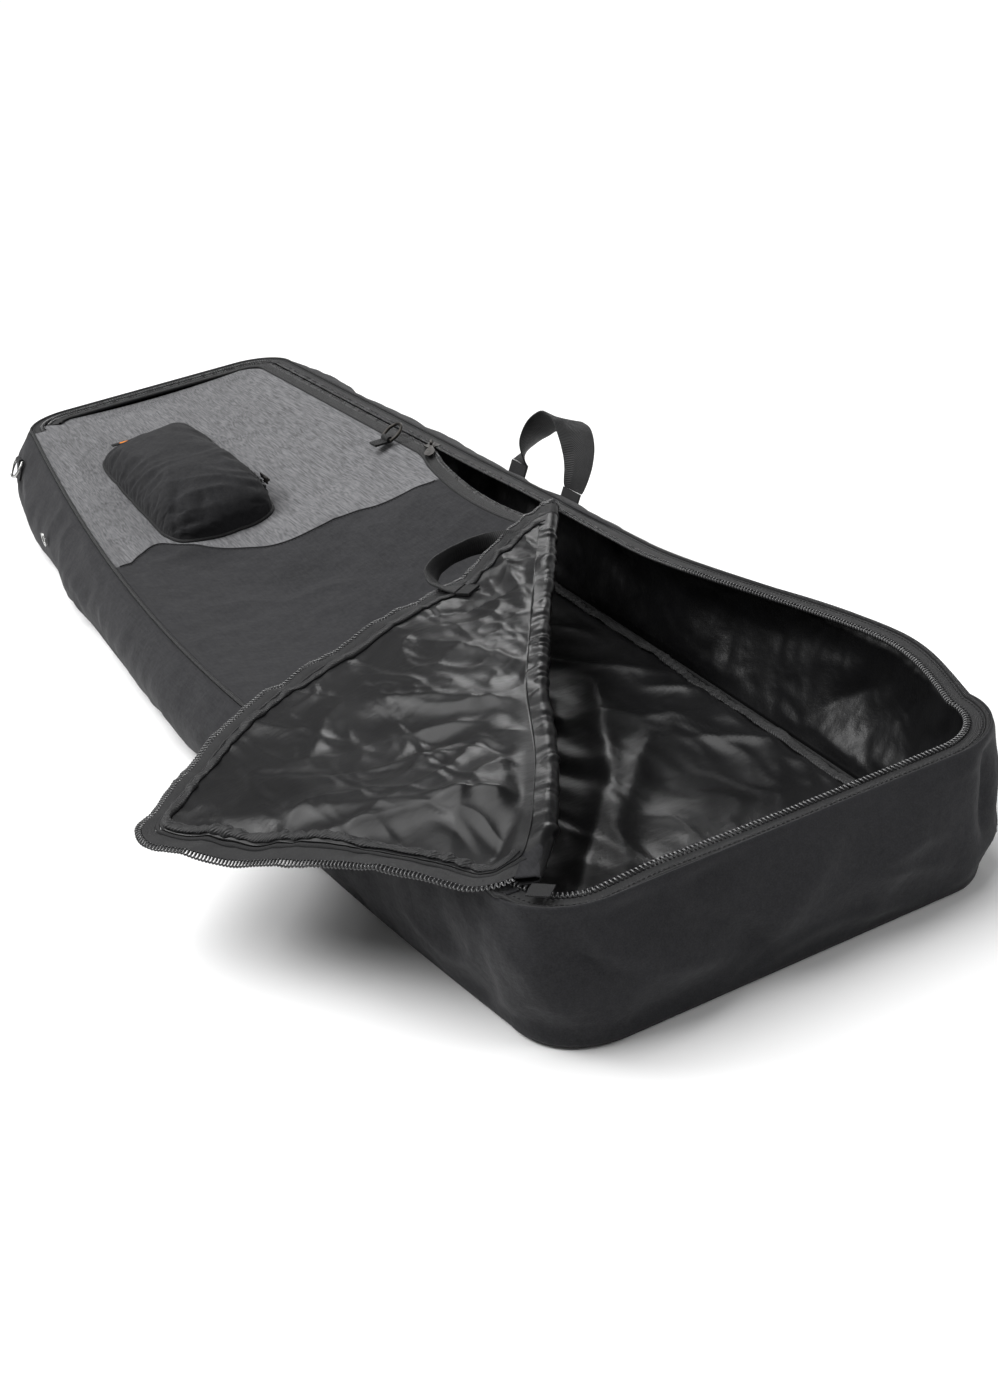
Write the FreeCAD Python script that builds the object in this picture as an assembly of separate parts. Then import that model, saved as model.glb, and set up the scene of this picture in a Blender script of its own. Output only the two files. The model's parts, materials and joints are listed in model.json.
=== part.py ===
import FreeCAD, Part
import math
import os
from collections import namedtuple

from FreeCAD import Vector

# Snowboard bag lying on its back, its lid unzipped around the near end and folded back.
# Millimetres. The origin is the middle of the underside: +X towards the far end, +Y to
# the left side, which the lid is sewn to, and +Z up.

# ---------------------------------------------------------------- driving dimensions
bag_length = 1630
half_width = 203            # from the middle to the rim of either long side
corner_radius = 64          # of the rim in plan
near_height = 130           # rim above the floor at the near end
far_height = 100            # rim above the floor at the far end
left_dip = 37               # the empty bag sags along its left side
left_bow = 52               # how far the left side bows out at mid length
fold_x = -72                # where the fold of the lid meets the right rim
fold_rise = 8               # fold axis above the lid, which is half the fold's thickness
fold_angle = 184            # turn of the flap from shut to lying back on the lid
flare = 50                  # the right rim opens out beside the mouth
flare_x = -620
flare_reach = 350           # towards the far end
flare_near_reach = 262

outer_cloth = 2.0           # doubled polyester of the walls
lid_cloth = 1.6
lining_cloth = 0.8
cloth_gap = 0.4             # between two layers of cloth
base_cloth = 2.5
piping_radius = 2.75
rim_piping_radius = 2.0

tape_width = 11.2
tape_thickness = 1.2
coil_width = 5.3
coil_height = 3.2
coil_gap = 2.8              # between the two coils, where the slider's web runs
trim_gap = 0.2

lid_sag = 38
pocket_length = 340
pocket_width = 134
pocket_height = 46
pocket_middle = (425, 66)
pocket_cloth = 1.6

webbing_thickness = 2.6
webbing_width = 38
flap_webbing_width = 20
ring_wire = 2.0             # radius of the D-rings' wire
ring_span = 26
ring_reach = 24

slider_x = 200              # where the main slider stands, with the bag unzipped up to it
running_gap = 0.4

# ---------------------------------------------------------------- shape of the bag's edge
Station = namedtuple("Station", "x y nx ny lean height belly shoulder")
near_x = -bag_length / 2
far_x = bag_length / 2
near_corner_x = near_x + corner_radius
far_corner_x = far_x - corner_radius
floor_seam = 2 * piping_radius + 0.5      # walls stand on the piping of the floor seam
rim_slope = (near_height - far_height) / bag_length
rim_tilt = math.degrees(math.atan(rim_slope))


def along(near, middle, far, x):
    """Value at x of the parabola through a near-end, a mid-length and a far-end value."""
    u = 2 * x / bag_length
    return middle + (far - near) / 2 * u + ((far + near) / 2 - middle) * u * u


def rim_height(x):
    """Height of the right rim and of the two ends' rims, one straight slope."""
    return near_height - rim_slope * (x - near_x)


def right_rim(x):
    """Distance of the right rim from the middle line."""
    u = (x - flare_x) / (flare_reach if x > flare_x else flare_near_reach)
    opened = flare * math.cos(u * math.pi / 2) ** 2 if abs(u) < 1 else 0
    return half_width + 5 + opened


def left_rim(x):
    return along(half_width - 3, half_width + left_bow / 2, half_width - 30, x)


def left_base(x):
    return along(half_width - 8, half_width + left_bow, half_width + 2, x)


def right_base(x):
    return along(half_width - 6, half_width + 8, half_width + 5, x)


def left_height(x):
    u = 2 * x / bag_length
    return rim_height(x) - left_dip * (1 - u * u) ** 2


def left_station(x):
    return Station(x, left_base(x), 0, 1, left_rim(x) - left_base(x), left_height(x),
                   along(6, 22, 14, x), along(5, 16, 12, x))


def right_station(x):
    return Station(x, -right_base(x), 0, -1, right_rim(x) - right_base(x), rim_height(x),
                   along(8, 26, 24, x), along(5, 30, 28, x))


def end_station(x, y):
    outward = -1 if x < 0 else 1
    return Station(x, y, outward, 0, 6, rim_height(x), 8, 7)


def corner_stations(first, last, centre_x, centre_y):
    """Three stations round a corner, between a side's last station and an end's first."""
    found = []
    first_angle = math.atan2(first.ny, first.nx)
    turn = math.atan2(last.ny, last.nx) - first_angle
    turn = (turn + math.pi) % (2 * math.pi) - math.pi
    first_radius = math.hypot(first.x - centre_x, first.y - centre_y)
    last_radius = math.hypot(last.x - centre_x, last.y - centre_y)
    for step in (0.25, 0.5, 0.75):
        angle = first_angle + turn * step
        radius = first_radius + (last_radius - first_radius) * step
        mixed = [a + (b - a) * step for a, b in zip(first[4:], last[4:])]
        found.append(Station(centre_x + radius * math.cos(angle),
                             centre_y + radius * math.sin(angle),
                             math.cos(angle), math.sin(angle), *mixed))
    return found


def steps(first, last, count):
    return [first + (last - first) * i / count for i in range(count + 1)]


def end_run(x, corner_x):
    """Stations of one end from its left corner to its right corner, both included."""
    left_centre = left_rim(corner_x) - corner_radius
    right_centre = corner_radius - right_rim(corner_x)
    first, last = left_station(corner_x), right_station(corner_x)
    middle = [end_station(x, y) for y in steps(left_centre, right_centre, 4)]
    return ([first] + corner_stations(first, middle[0], corner_x, left_centre) + middle
            + corner_stations(middle[-1], last, corner_x, right_centre) + [last])


near_run = end_run(near_x, near_corner_x)
far_run = end_run(far_x, far_corner_x)
left_run = [left_station(x) for x in steps(near_corner_x, far_corner_x, 8)]
right_run = [right_station(x) for x in steps(near_corner_x, far_corner_x, 16)]


# ---------------------------------------------------------------- solids along the edge
def base_point(s, inward, z):
    return Vector(s.x - s.nx * inward, s.y - s.ny * inward, z)


def rim_point(s, inward, up):
    """Point `inward` from the rim and `up` from its slope, which goes on inward."""
    reach = s.lean - inward
    slope_down = rim_slope * s.nx * reach
    return Vector(s.x + s.nx * reach, s.y + s.ny * reach, s.height - slope_down + up)


def wall_curve(s, inward, low, below_rim):
    """Curve up the wall, through its belly and its shoulder, `inward` from the outside."""
    top = s.height - below_rim
    points = []
    for part, out in ((0, 0), (0.4, s.belly), (0.78, s.shoulder), (1, 0)):
        reach = s.lean * part + out - inward
        points.append(Vector(s.x + s.nx * reach, s.y + s.ny * reach, low + (top - low) * part))
    curve = Part.BSplineCurve()
    curve.interpolate(points)
    return curve, points[0], points[-1]


def wall_profile(s, outside, inside, low, below_rim):
    outer, outer_low, outer_top = wall_curve(s, outside, low, below_rim)
    inner, inner_low, inner_top = wall_curve(s, inside, low, below_rim)
    return Part.Wire([outer.toShape(), Part.makeLine(outer_top, inner_top),
                      inner.toShape(), Part.makeLine(inner_low, outer_low)])


def solid_through(wires, ruled=False):
    """Solid through sections; one whose sections turn the other way comes out inside out."""
    solid = Part.makeLoft(wires, True, ruled)
    if solid.Volume < 0:
        solid.reverse()
    return solid


def wall(run, outside, inside, low, below_rim):
    return solid_through([wall_profile(s, outside, inside, low, below_rim) for s in run])


def rim_strip(run, outside, inside, low, high, ruled=True):
    """Flat strip beside the rim, from `outside` to `inside` measured inward from it."""
    return solid_through([Part.makePolygon([rim_point(s, outside, low), rim_point(s, inside, low),
                                            rim_point(s, inside, high),
                                            rim_point(s, outside, high),
                                            rim_point(s, outside, low)]) for s in run], ruled)


def base_strip(run, outside, inside, low, high):
    return solid_through([Part.makePolygon([base_point(s, outside, low), base_point(s, inside, low),
                                            base_point(s, inside, high),
                                            base_point(s, outside, high),
                                            base_point(s, outside, low)]) for s in run], True)


def cord_run(run, place, inward, z, radius):
    """Eight-sided piping along a run, its centre `inward` from the base or from the rim."""
    turns = [math.radians(22.5 + 45 * i) for i in range(8)]
    wires = []
    for s in run:
        corners = [place(s, inward + radius * math.cos(t), z + radius * math.sin(t))
                   for t in turns]
        wires.append(Part.makePolygon(corners + [corners[0]]))
    return solid_through(wires, True)


def join(shapes):
    whole = shapes[0].fuse(shapes[1:])
    return whole.removeSplitter()


def closed_outline(runs, place, inward):
    """Face through the points of several runs, which follow each other round the bag."""
    points = []
    for run in runs:
        points += [place(s, inward, 0) for s in run]
    flat = [Vector(p.x, p.y, 0) for p in points]
    corners = [flat[0]]
    for p in flat[1:]:
        if p.distanceToPoint(corners[-1]) > 0.01:
            corners.append(p)
    if corners[0].distanceToPoint(corners[-1]) < 0.01:
        corners.pop()
    return Part.Face(Part.makePolygon(corners + [corners[0]]))


def lifted(face, low, high):
    moved = face.copy()
    moved.translate(Vector(0, 0, low))
    return moved.extrude(Vector(0, 0, high - low))


# The four runs in order round the bag, starting at the far left corner.
round_bag = [list(reversed(left_run)), near_run, right_run, list(reversed(far_run))]


# ---------------------------------------------------------------- floor of the bag
def make_base_panel():
    face = closed_outline(round_bag, base_point, 2 * piping_radius + 1.5)
    return lifted(face, 0, base_cloth)


def make_base_lining():
    face = closed_outline(round_bag, base_point, 2 * piping_radius + 2)
    low = base_cloth + cloth_gap
    return lifted(face, low, low + lining_cloth)


def make_base_piping():
    butt_joint = [left_station(far_corner_x + 1)]
    whole = round_bag[0] + round_bag[1][1:] + round_bag[2][1:] + round_bag[3][1:-1] + butt_joint
    return cord_run(whole, base_point, piping_radius + 0.25, piping_radius + 0.2, piping_radius)


def make_inner_seam_binding():
    low = base_cloth + 2 * cloth_gap + lining_cloth
    outside = outer_cloth + lining_cloth + 6
    return join([base_strip(run, outside, outside + 9, low, low + 2) for run in round_bag])


# ---------------------------------------------------------------- walls and their linings
wall_top = 2.0              # cloth ends this far under the rim line, where the piping sits
lining_outside = outer_cloth + cloth_gap
lining_inside = lining_outside + lining_cloth


def make_wall(run):
    return wall(run, 0, outer_cloth, floor_seam, wall_top)


def make_wall_lining(run):
    return wall(run, lining_outside, lining_inside, floor_seam + 1, wall_top + 2)


# ---------------------------------------------------------------- rim, zip and lid edges
tape_outside = 2 * rim_piping_radius - 0.2
coil_outside = tape_outside + tape_width + trim_gap
lid_coil_outside = coil_outside + coil_width + coil_gap
lid_tape_outside = lid_coil_outside + coil_width + trim_gap
lid_piping_middle = lid_tape_outside + tape_width + trim_gap + rim_piping_radius
lid_edge = lid_piping_middle + rim_piping_radius + trim_gap
zip_line = coil_outside + coil_width + coil_gap / 2

rim_run = near_run + right_run[1:] + list(reversed(far_run))[1:]
lid_side_run = [right_station(x) for x in steps(fold_x, far_corner_x, 10)]
shut_run = lid_side_run + list(reversed(far_run))[1:]
flap_side_run = [right_station(x) for x in steps(near_corner_x, fold_x - 14, 12)]
flap_run = near_run[1:] + flap_side_run[1:]


def tape(run, outside):
    return rim_strip(run, outside, outside + tape_width, -tape_thickness / 2, tape_thickness / 2)


def coil(run, outside):
    return rim_strip(run, outside, outside + coil_width, -coil_height / 2, coil_height / 2)


def edge_piping(run, inward, z):
    return cord_run(run, rim_point, inward, z, rim_piping_radius)


def make_rim_piping():
    return edge_piping(rim_run, rim_piping_radius - 0.5, 0.4)


def make_hinge_piping():
    run = left_run[:-1] + [left_station(far_corner_x - 3)]
    return edge_piping(run, rim_piping_radius - 0.5, 1.0)


def make_lid_piping():
    return edge_piping(shut_run, lid_piping_middle, 0)


def make_flap_piping():
    """Runs from the near edge to where the fold crosses the piping's line."""
    fold_way = (fold_x - near_x) / (2 * half_width)
    last_x = fold_x - (lid_piping_middle + 14) * fold_way
    side = [s for s in flap_side_run[1:] if s.x < last_x - 1] + [right_station(last_x)]
    return edge_piping(near_run[4:] + side, lid_piping_middle, 0.2)


# ---------------------------------------------------------------- the fold
fold_right = Vector(fold_x, -right_rim(fold_x), rim_height(fold_x) + fold_rise)
fold_left = Vector(near_x + 12, left_rim(near_corner_x) - 6, rim_height(near_x + 12) + fold_rise)
fold_line = (fold_left - fold_right).normalize()
fold_clear = 8              # cloth stops this far from the fold axis on either side


def fold_y(x):
    share = (x - fold_right.x) / (fold_left.x - fold_right.x)
    return fold_right.y + (fold_left.y - fold_right.y) * share


def half_plan(side):
    """Tall block on one side of the fold: side 1 is the lid's, side -1 the flap's."""
    across = Vector(fold_line.y, -fold_line.x, 0).normalize()
    start = fold_right - fold_line * 2000 + across * fold_clear * side
    end = fold_right + fold_line * 3000 + across * fold_clear * side
    away = across * 3000 * side
    low = Vector(0, 0, -500)
    corners = [Vector(p.x, p.y, 0) + low for p in (start, end, end + away, start + away)]
    face = Part.Face(Part.makePolygon(corners + [corners[0]]))
    return face.extrude(Vector(0, 0, 1500))


def folded_back(shape):
    """The flap is drawn shut and then turned back about the fold."""
    turned = shape.copy()
    turned.rotate(fold_right, fold_line, fold_angle)
    return turned


# ---------------------------------------------------------------- the fixed part of the lid
def lid_row(x, low, high):
    """Section of the sagging lid at x, between its sewn edge and the fold or the zip."""
    left_y = left_rim(x) - 2 * rim_piping_radius - 1
    right_y = -right_rim(x) + lid_edge if x >= fold_x else fold_y(x) - 12
    right_z, left_z = rim_height(x), left_height(x)
    share = (left_y - right_y) / (2 * half_width)
    sag = lid_sag * (1 - 0.9 * (x / far_x) ** 2) * share
    middle_y, middle_z = (left_y + right_y) / 2, (left_z + right_z) / 2 - sag

    def bow(up):
        return Part.Arc(Vector(x, left_y, left_z + up), Vector(x, middle_y, middle_z + up),
                        Vector(x, right_y, right_z + up)).toShape()

    return Part.Wire([bow(low), Part.makeLine(Vector(x, right_y, right_z + low),
                                              Vector(x, right_y, right_z + high)),
                      bow(high), Part.makeLine(Vector(x, left_y, left_z + high),
                                               Vector(x, left_y, left_z + low))])


def lid_slab(low, high):
    rows = [near_corner_x + 14] + steps(near_x + 150, fold_x, 4) + steps(fold_x, far_x, 6)[1:]
    return solid_through([lid_row(x, low, high) for x in rows], True)


def lid_plan(inward):
    """Tall block over the fixed lid, rounded at the two far corners like the zip."""
    left_edge = [Vector(s.x, left_rim(s.x), 0) for s in left_run]
    far_edge = [rim_point(left_station(far_corner_x - 2), inward, 0)]
    far_edge += [rim_point(s, inward, 0) for s in far_run[1:]]
    right_edge = [rim_point(s, inward, 0) for s in reversed(right_run)]
    left_edge[-1].x = far_corner_x - 2
    points = [Vector(p.x, p.y, -200) for p in left_edge + far_edge + right_edge[1:]]
    points.append(Vector(near_x, points[-1].y, -200))
    points.append(Vector(near_x, points[0].y, -200))
    return Part.Face(Part.makePolygon(points + [points[0]])).extrude(Vector(0, 0, 600))


def charcoal_plan():
    """Tall block over the charcoal part: its far edge is a wave across the lid."""
    wave = [(60, -260), (108, -150), (160, -50), (172, 40), (225, 95), (284, 150), (200, 215),
            (150, 280)]
    curve = Part.BSplineCurve()
    curve.interpolate([Vector(x, y, -300) for x, y in wave])
    start, end = Vector(*wave[0], -300), Vector(*wave[-1], -300)
    far_left, far_right = Vector(near_x - 50, 280, -300), Vector(near_x - 50, -260, -300)
    wire = Part.Wire([curve.toShape(), Part.makeLine(end, far_left),
                      Part.makeLine(far_left, far_right), Part.makeLine(far_right, start)])
    return Part.Face(wire).extrude(Vector(0, 0, 700))


def fixed_lid(low, high, inward):
    return lid_slab(low, high).common(lid_plan(inward)).common(half_plan(1))


lid_low, lid_high = -lid_cloth / 2, lid_cloth / 2
lid_outer = fixed_lid(lid_low, lid_high, lid_edge)


def make_lid_lining():
    high = lid_low - cloth_gap
    return fixed_lid(high - lining_cloth, high, lid_edge + 1)


# ---------------------------------------------------------------- the flap
def flap_slab(low, high, inward):
    """Flat sheet in the sloping plane of the rim, drawn shut."""
    edge = [rim_point(s, inward, 0) for s in flap_run]
    points = [Vector(p.x, p.y, 0) for p in edge]
    points.append(Vector(fold_x + 60, points[-1].y, 0))
    points.append(Vector(near_x + 60, left_rim(near_corner_x) + 60, 0))
    prism = Part.Face(Part.makePolygon(points + [points[0]])).extrude(Vector(0, 0, 400))
    sheet = Part.makeBox(2000, 1200, high - low, Vector(-100, -600, low))
    sheet.rotate(Vector(0, 0, 0), Vector(0, 1, 0), rim_tilt)
    sheet.translate(Vector(near_x, 0, near_height))
    return sheet.common(prism).common(half_plan(-1))


def make_flap_lining():
    high = lid_low - cloth_gap
    return flap_slab(high - lining_cloth, high, lid_edge + 1)


def make_flap_seam_binding():
    """Gathered binding on the inside of the flap's long zip seam."""
    high = lid_low - 2 * cloth_gap - lining_cloth
    return rim_strip(flap_run, lid_edge + 3, lid_edge + 12, high - 3, high).common(half_plan(-1))


# ---------------------------------------------------------------- pocket on the lid
pocket_base = 52            # underside of the pocket's box, below the sagging lid
pocket_top = 78 + pocket_height


def rounded_box(length, width, low, high, edge, rim):
    box = Part.makeBox(length, width, high - low,
                       Vector(pocket_middle[0] - length / 2, pocket_middle[1] - width / 2, low))
    upright = [e for e in box.Edges if abs(e.Vertexes[0].Z - e.Vertexes[-1].Z) > 1]
    box = box.makeFillet(edge, upright)
    top = [e for e in box.Edges if min(v.Z for v in e.Vertexes) > high - 0.01]
    return box.makeFillet(rim, top)


def make_pocket_panel():
    outer = rounded_box(pocket_length, pocket_width, pocket_base, pocket_top, 26, 22)
    inner = rounded_box(pocket_length - 2 * pocket_cloth, pocket_width - 2 * pocket_cloth,
                        pocket_base - 5, pocket_top - pocket_cloth, 24, 20)
    return outer.cut(inner).cut(lid_slab(-120, lid_high + 0.3))


pocket_zip_y = pocket_middle[1] - pocket_width / 2
pocket_zip_z = 94
pocket_zip_length = pocket_length - 70
pocket_zip_start = pocket_middle[0] - pocket_zip_length / 2


def pocket_strip(out, thickness, low, high, gap=0):
    """Strip on the pocket's right side, `out` from its cloth."""
    return Part.makeBox(pocket_zip_length - 2 * gap, thickness, high - low,
                        Vector(pocket_zip_start + gap, pocket_zip_y - out - thickness,
                               pocket_zip_z + low))


pocket_tape_out = 0.3
pocket_coil_out = pocket_tape_out + 1.0 + 0.2
pocket_coil = 2.2


def make_pocket_zip_tape():
    return pocket_strip(pocket_tape_out, 1.0, -10, 10)


def make_pocket_zip_coil():
    return pocket_strip(pocket_coil_out, pocket_coil, -2.6, 2.6, 4)


def make_pocket_slider():
    """Plate over the coil with a loop for its pull."""
    x = pocket_zip_start + 16
    y = pocket_zip_y - pocket_coil_out - pocket_coil - running_gap
    plate = Part.makeBox(11, 1.6, 8, Vector(x, y - 1.6, pocket_zip_z - 4))
    loop = Part.makeBox(7, 3.6, 2.4, Vector(x + 2, y - 5.2, pocket_zip_z - 1.2))
    eye = Part.makeCylinder(1.1, 8, Vector(x + 5.5, y - 3.3, pocket_zip_z - 4), Vector(0, 0, 1))
    return join([plate, loop]).cut(eye)


pocket_pull_pin = Vector(pocket_zip_start + 21.5,
                         pocket_zip_y - pocket_coil_out - pocket_coil - running_gap - 3.3,
                         pocket_zip_z)


def make_pocket_pull():
    """Short flat pull that lies back along the pocket's side."""
    pin = Part.makeCylinder(0.9, 5.6, pocket_pull_pin - Vector(0, 0, 2.8), Vector(0, 0, 1))
    arms = [Part.makeBox(8, 1.5, 1.2, pocket_pull_pin + Vector(-0.7, -0.75, z))
            for z in (1.6, -2.8)]
    blade = Part.makeBox(18, 1.5, 5.6, pocket_pull_pin + Vector(7.0, -0.75, -2.8))
    return join([pin, blade] + arms)


def make_pocket_label_tab():
    x = pocket_middle[0] + pocket_length / 2 + 0.3
    return Part.makeBox(8, 34, 1.2, Vector(x, pocket_middle[1] + 8, pocket_top - 24))


# ---------------------------------------------------------------- rings and their tabs
def d_ring(bar_middle, bar, reach):
    """Round wire bent to a D: `bar` is the way of its straight bar, `reach` of its bow."""
    radius = ring_span / 2
    straight = Part.makeCylinder(ring_wire, ring_span, bar_middle - bar * radius, bar)
    normal = bar.cross(reach)
    start, end = bar_middle - bar * radius, bar_middle + bar * radius
    peak = bar_middle + reach * ring_reach
    bow = Part.Wire([Part.Arc(start, peak, end).toShape()])
    tangent = bow.Edges[0].tangentAt(bow.Edges[0].FirstParameter)
    section = Part.Wire(Part.makeCircle(ring_wire, start, tangent))
    curved = bow.makePipeShell([section], True, True)
    balls = [Part.makeSphere(ring_wire, p, normal) for p in (start, end)]
    return join([straight, curved] + balls)


def tab_sleeve(bar_middle, bar, toward, up, length, tail):
    """Webbing rolled round a D-ring's bar, with its two layers sewn down behind it."""
    hole = ring_wire + running_gap
    radius = hole + webbing_thickness * 0.6
    half = length / 2
    roll = Part.makeCylinder(radius, length, bar_middle - bar * half, bar)
    corner = bar_middle - bar * half - up * (radius - 0.3)
    tail_face = Part.Face(Part.makePolygon([corner, corner + bar * length,
                                            corner + bar * length + toward * tail,
                                            corner + toward * tail, corner]))
    tail_block = tail_face.extrude(up * webbing_thickness)
    bore = Part.makeCylinder(hole, length + 2, bar_middle - bar * (half + 1), bar)
    return join([roll, tail_block]).cut(bore)


side_ring_x = 268
side_bar = Vector(side_ring_x, -right_rim(side_ring_x) + lid_edge + 8,
                  rim_height(side_ring_x) + lid_high + 4.6)
side_along = Vector(math.cos(math.radians(rim_tilt)), 0, -math.sin(math.radians(rim_tilt)))
side_reach = Vector(0, -math.cos(math.radians(32)), math.sin(math.radians(32)))
side_reach = (side_reach - side_along * side_reach.dot(side_along)).normalize()

corner_ring_x = 705
corner_out = left_station(corner_ring_x)
corner_bar = Vector(corner_ring_x, corner_out.y + corner_out.lean + 28,
                    corner_out.height - 16)
corner_along = Vector(1, 0, 0)
corner_reach = Vector(0, math.cos(math.radians(50)), -math.sin(math.radians(50)))


def make_side_ring_tab():
    return tab_sleeve(side_bar, side_along, Vector(0, 1, 0), Vector(0, 0, 1), ring_span - 7, 20)


def make_corner_ring_strap():
    """Strap that comes up the outside of the wall and rolls round the corner ring."""
    return tab_sleeve(corner_bar, corner_along, Vector(0, 0.42, -0.907).normalize(),
                      Vector(0, 0.907, 0.42).normalize(), ring_span - 7, 26)


# ---------------------------------------------------------------- main slider and its pull
slider_point = Vector(slider_x, -right_rim(slider_x) + zip_line, rim_height(slider_x))
slider_length = 17
pull_heading = 150          # degrees from +X in plan: the bridge and its pull turn to the lid
pull_dip = 3
pull_length = 40
plate_gap = coil_height / 2 + running_gap


def make_zip_slider():
    """Two plates joined by a web that runs between the coils, with a bridge on top."""
    half = coil_width + coil_gap / 2 + 1
    top = Part.makeBox(slider_length, 2 * half, 1.5, Vector(-slider_length / 2, -half, plate_gap))
    low = Part.makeBox(slider_length, 2 * half, 1.5,
                       Vector(-slider_length / 2, -half, -plate_gap - 1.5))
    web_width = coil_gap - 2 * running_gap
    web = Part.makeBox(5, web_width, 2 * plate_gap,
                       Vector(slider_length / 2 - 6, -web_width / 2, -plate_gap))
    bridge = Part.makeBox(12, 2.6, 6, Vector(-6, -1.3, plate_gap + 1.4))
    bridge = bridge.makeFillet(2.2, [e for e in bridge.Edges
                                     if abs(e.Vertexes[0].Y - e.Vertexes[-1].Y) > 1
                                     and min(v.Z for v in e.Vertexes) > plate_gap + 5])
    eye = Part.makeBox(7, 6, 2.8, Vector(-3.5, -3, plate_gap + 2.6))
    bridge = bridge.cut(eye)
    bridge.rotate(Vector(0, 0, 0), Vector(0, 0, 1), pull_heading)
    body = join([top, low, web, bridge])
    body.rotate(Vector(0, 0, 0), Vector(0, 1, 0), rim_tilt)
    body.translate(slider_point)
    return body


pull_pin = slider_point + Vector(0, 0, plate_gap + 4.0)


def make_zip_pull():
    """Leaf-shaped pull: a ring through the bridge, a narrow neck and a broad blade."""
    pin = Part.makeBox(1.6, 6.4, 1.6, Vector(-0.8, -3.2, -0.8))
    arms = [Part.makeBox(9, 1.6, 1.6, Vector(-0.8, y, -0.8)) for y in (1.8, -3.4)]
    outline = [(7.6, -3.4), (14, -3.0), (22, -5.6), (31, -6.2), (pull_length - 3, -4.4),
               (pull_length, 0)]
    upper = [Vector(x, y, -0.8) for x, y in outline]
    lower = [Vector(x, -y, -0.8) for x, y in reversed(outline[:-1])]
    blade = Part.Face(Part.makePolygon(upper + lower + [upper[0]])).extrude(Vector(0, 0, 1.6))
    pull = join([pin, blade] + arms)
    pull.rotate(Vector(0, 0, 0), Vector(0, 1, 0), pull_dip)
    pull.rotate(Vector(0, 0, 0), Vector(0, 0, 1), pull_heading)
    pull.translate(pull_pin)
    return pull


# ---------------------------------------------------------------- webbing handles
def webbing_loop(span, reach, width):
    """Flat arch in the XY plane: an outer half ellipse less an inner one."""
    outer = Part.Ellipse(Vector(0, 0, 0), max(span / 2, reach), min(span / 2, reach))
    inner_span, inner_reach = span / 2 - width, reach - width
    inner = Part.Ellipse(Vector(0, 0, 0), max(inner_span, inner_reach),
                         min(inner_span, inner_reach))
    faces = []
    for curve, tall in ((outer, reach > span / 2), (inner, inner_reach > inner_span)):
        shape = curve.toShape()
        if tall:
            shape.rotate(Vector(0, 0, 0), Vector(0, 0, 1), 90)
        faces.append(Part.Face(Part.Wire(shape)))
    ring = faces[0].cut(faces[1]).extrude(Vector(0, 0, webbing_thickness))
    upper = Part.makeBox(2 * span, 2 * reach, 20, Vector(-span, 0.5, -5))
    return ring.common(upper)


def webbing_feet(span, width):
    tail = 16
    return [Part.makeBox(width, tail, webbing_thickness, Vector(x, -tail - 0.5, 0))
            for x in (-span / 2, span / 2 - width)]


carry_span, carry_reach = 168, 86
carry_x = 42
carry_lift = 62             # degrees above the floor that the handle stands out from the wall
carry_foot = Vector(carry_x, -(half_width + 52), 96)
flap_span, flap_reach = 140, 72
flap_handle_x = -272
flap_foot = Vector(flap_handle_x, -right_rim(flap_handle_x) + lid_edge + 4,
                   rim_height(flap_handle_x) + lid_high + 1.2)


def on_right_wall(shape):
    moved = shape.copy()
    moved.rotate(Vector(0, 0, 0), Vector(1, 0, 0), 180 - carry_lift)
    moved.translate(carry_foot)
    return moved


def on_flap(shape, up=0):
    """Lies on the outside of the shut flap, its bow towards the right side."""
    moved = shape.copy()
    moved.translate(Vector(0, 0, up))
    moved.rotate(Vector(0, 0, 0), Vector(0, 0, 1), 180)
    moved.rotate(Vector(0, 0, 0), Vector(0, 1, 0), rim_tilt)
    moved.translate(flap_foot)
    return folded_back(moved)


# ---------------------------------------------------------------- small trim on the walls
def make_vent_eyelet():
    """Ring pressed into the left wall; it lets a wet bag breathe."""
    s = left_station(470)
    curve = wall_curve(s, 0, floor_seam, wall_top)[0]
    spot = curve.value(curve.parameterAtDistance(44))
    centre = Vector(spot.x, spot.y + 3.2, spot.z)
    outward = Vector(0, 1, 0)
    ring = Part.makeCylinder(9, 1.6, centre, outward)
    return ring.cut(Part.makeCylinder(5.5, 4, centre - outward, outward))


def make_zip_end_stop():
    """Sewn cap over the end of the zip at the near left corner."""
    s = near_run[2]
    corner = [rim_point(s, tape_outside + 1, 3.2), rim_point(s, coil_outside + coil_width, 3.2)]
    across = Vector(-s.ny, s.nx, 0) * 9
    face = Part.Face(Part.makePolygon([corner[0] - across, corner[1] - across,
                                       corner[1] + across, corner[0] + across,
                                       corner[0] - across]))
    return face.extrude(Vector(0, 0, 1.2))


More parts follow.
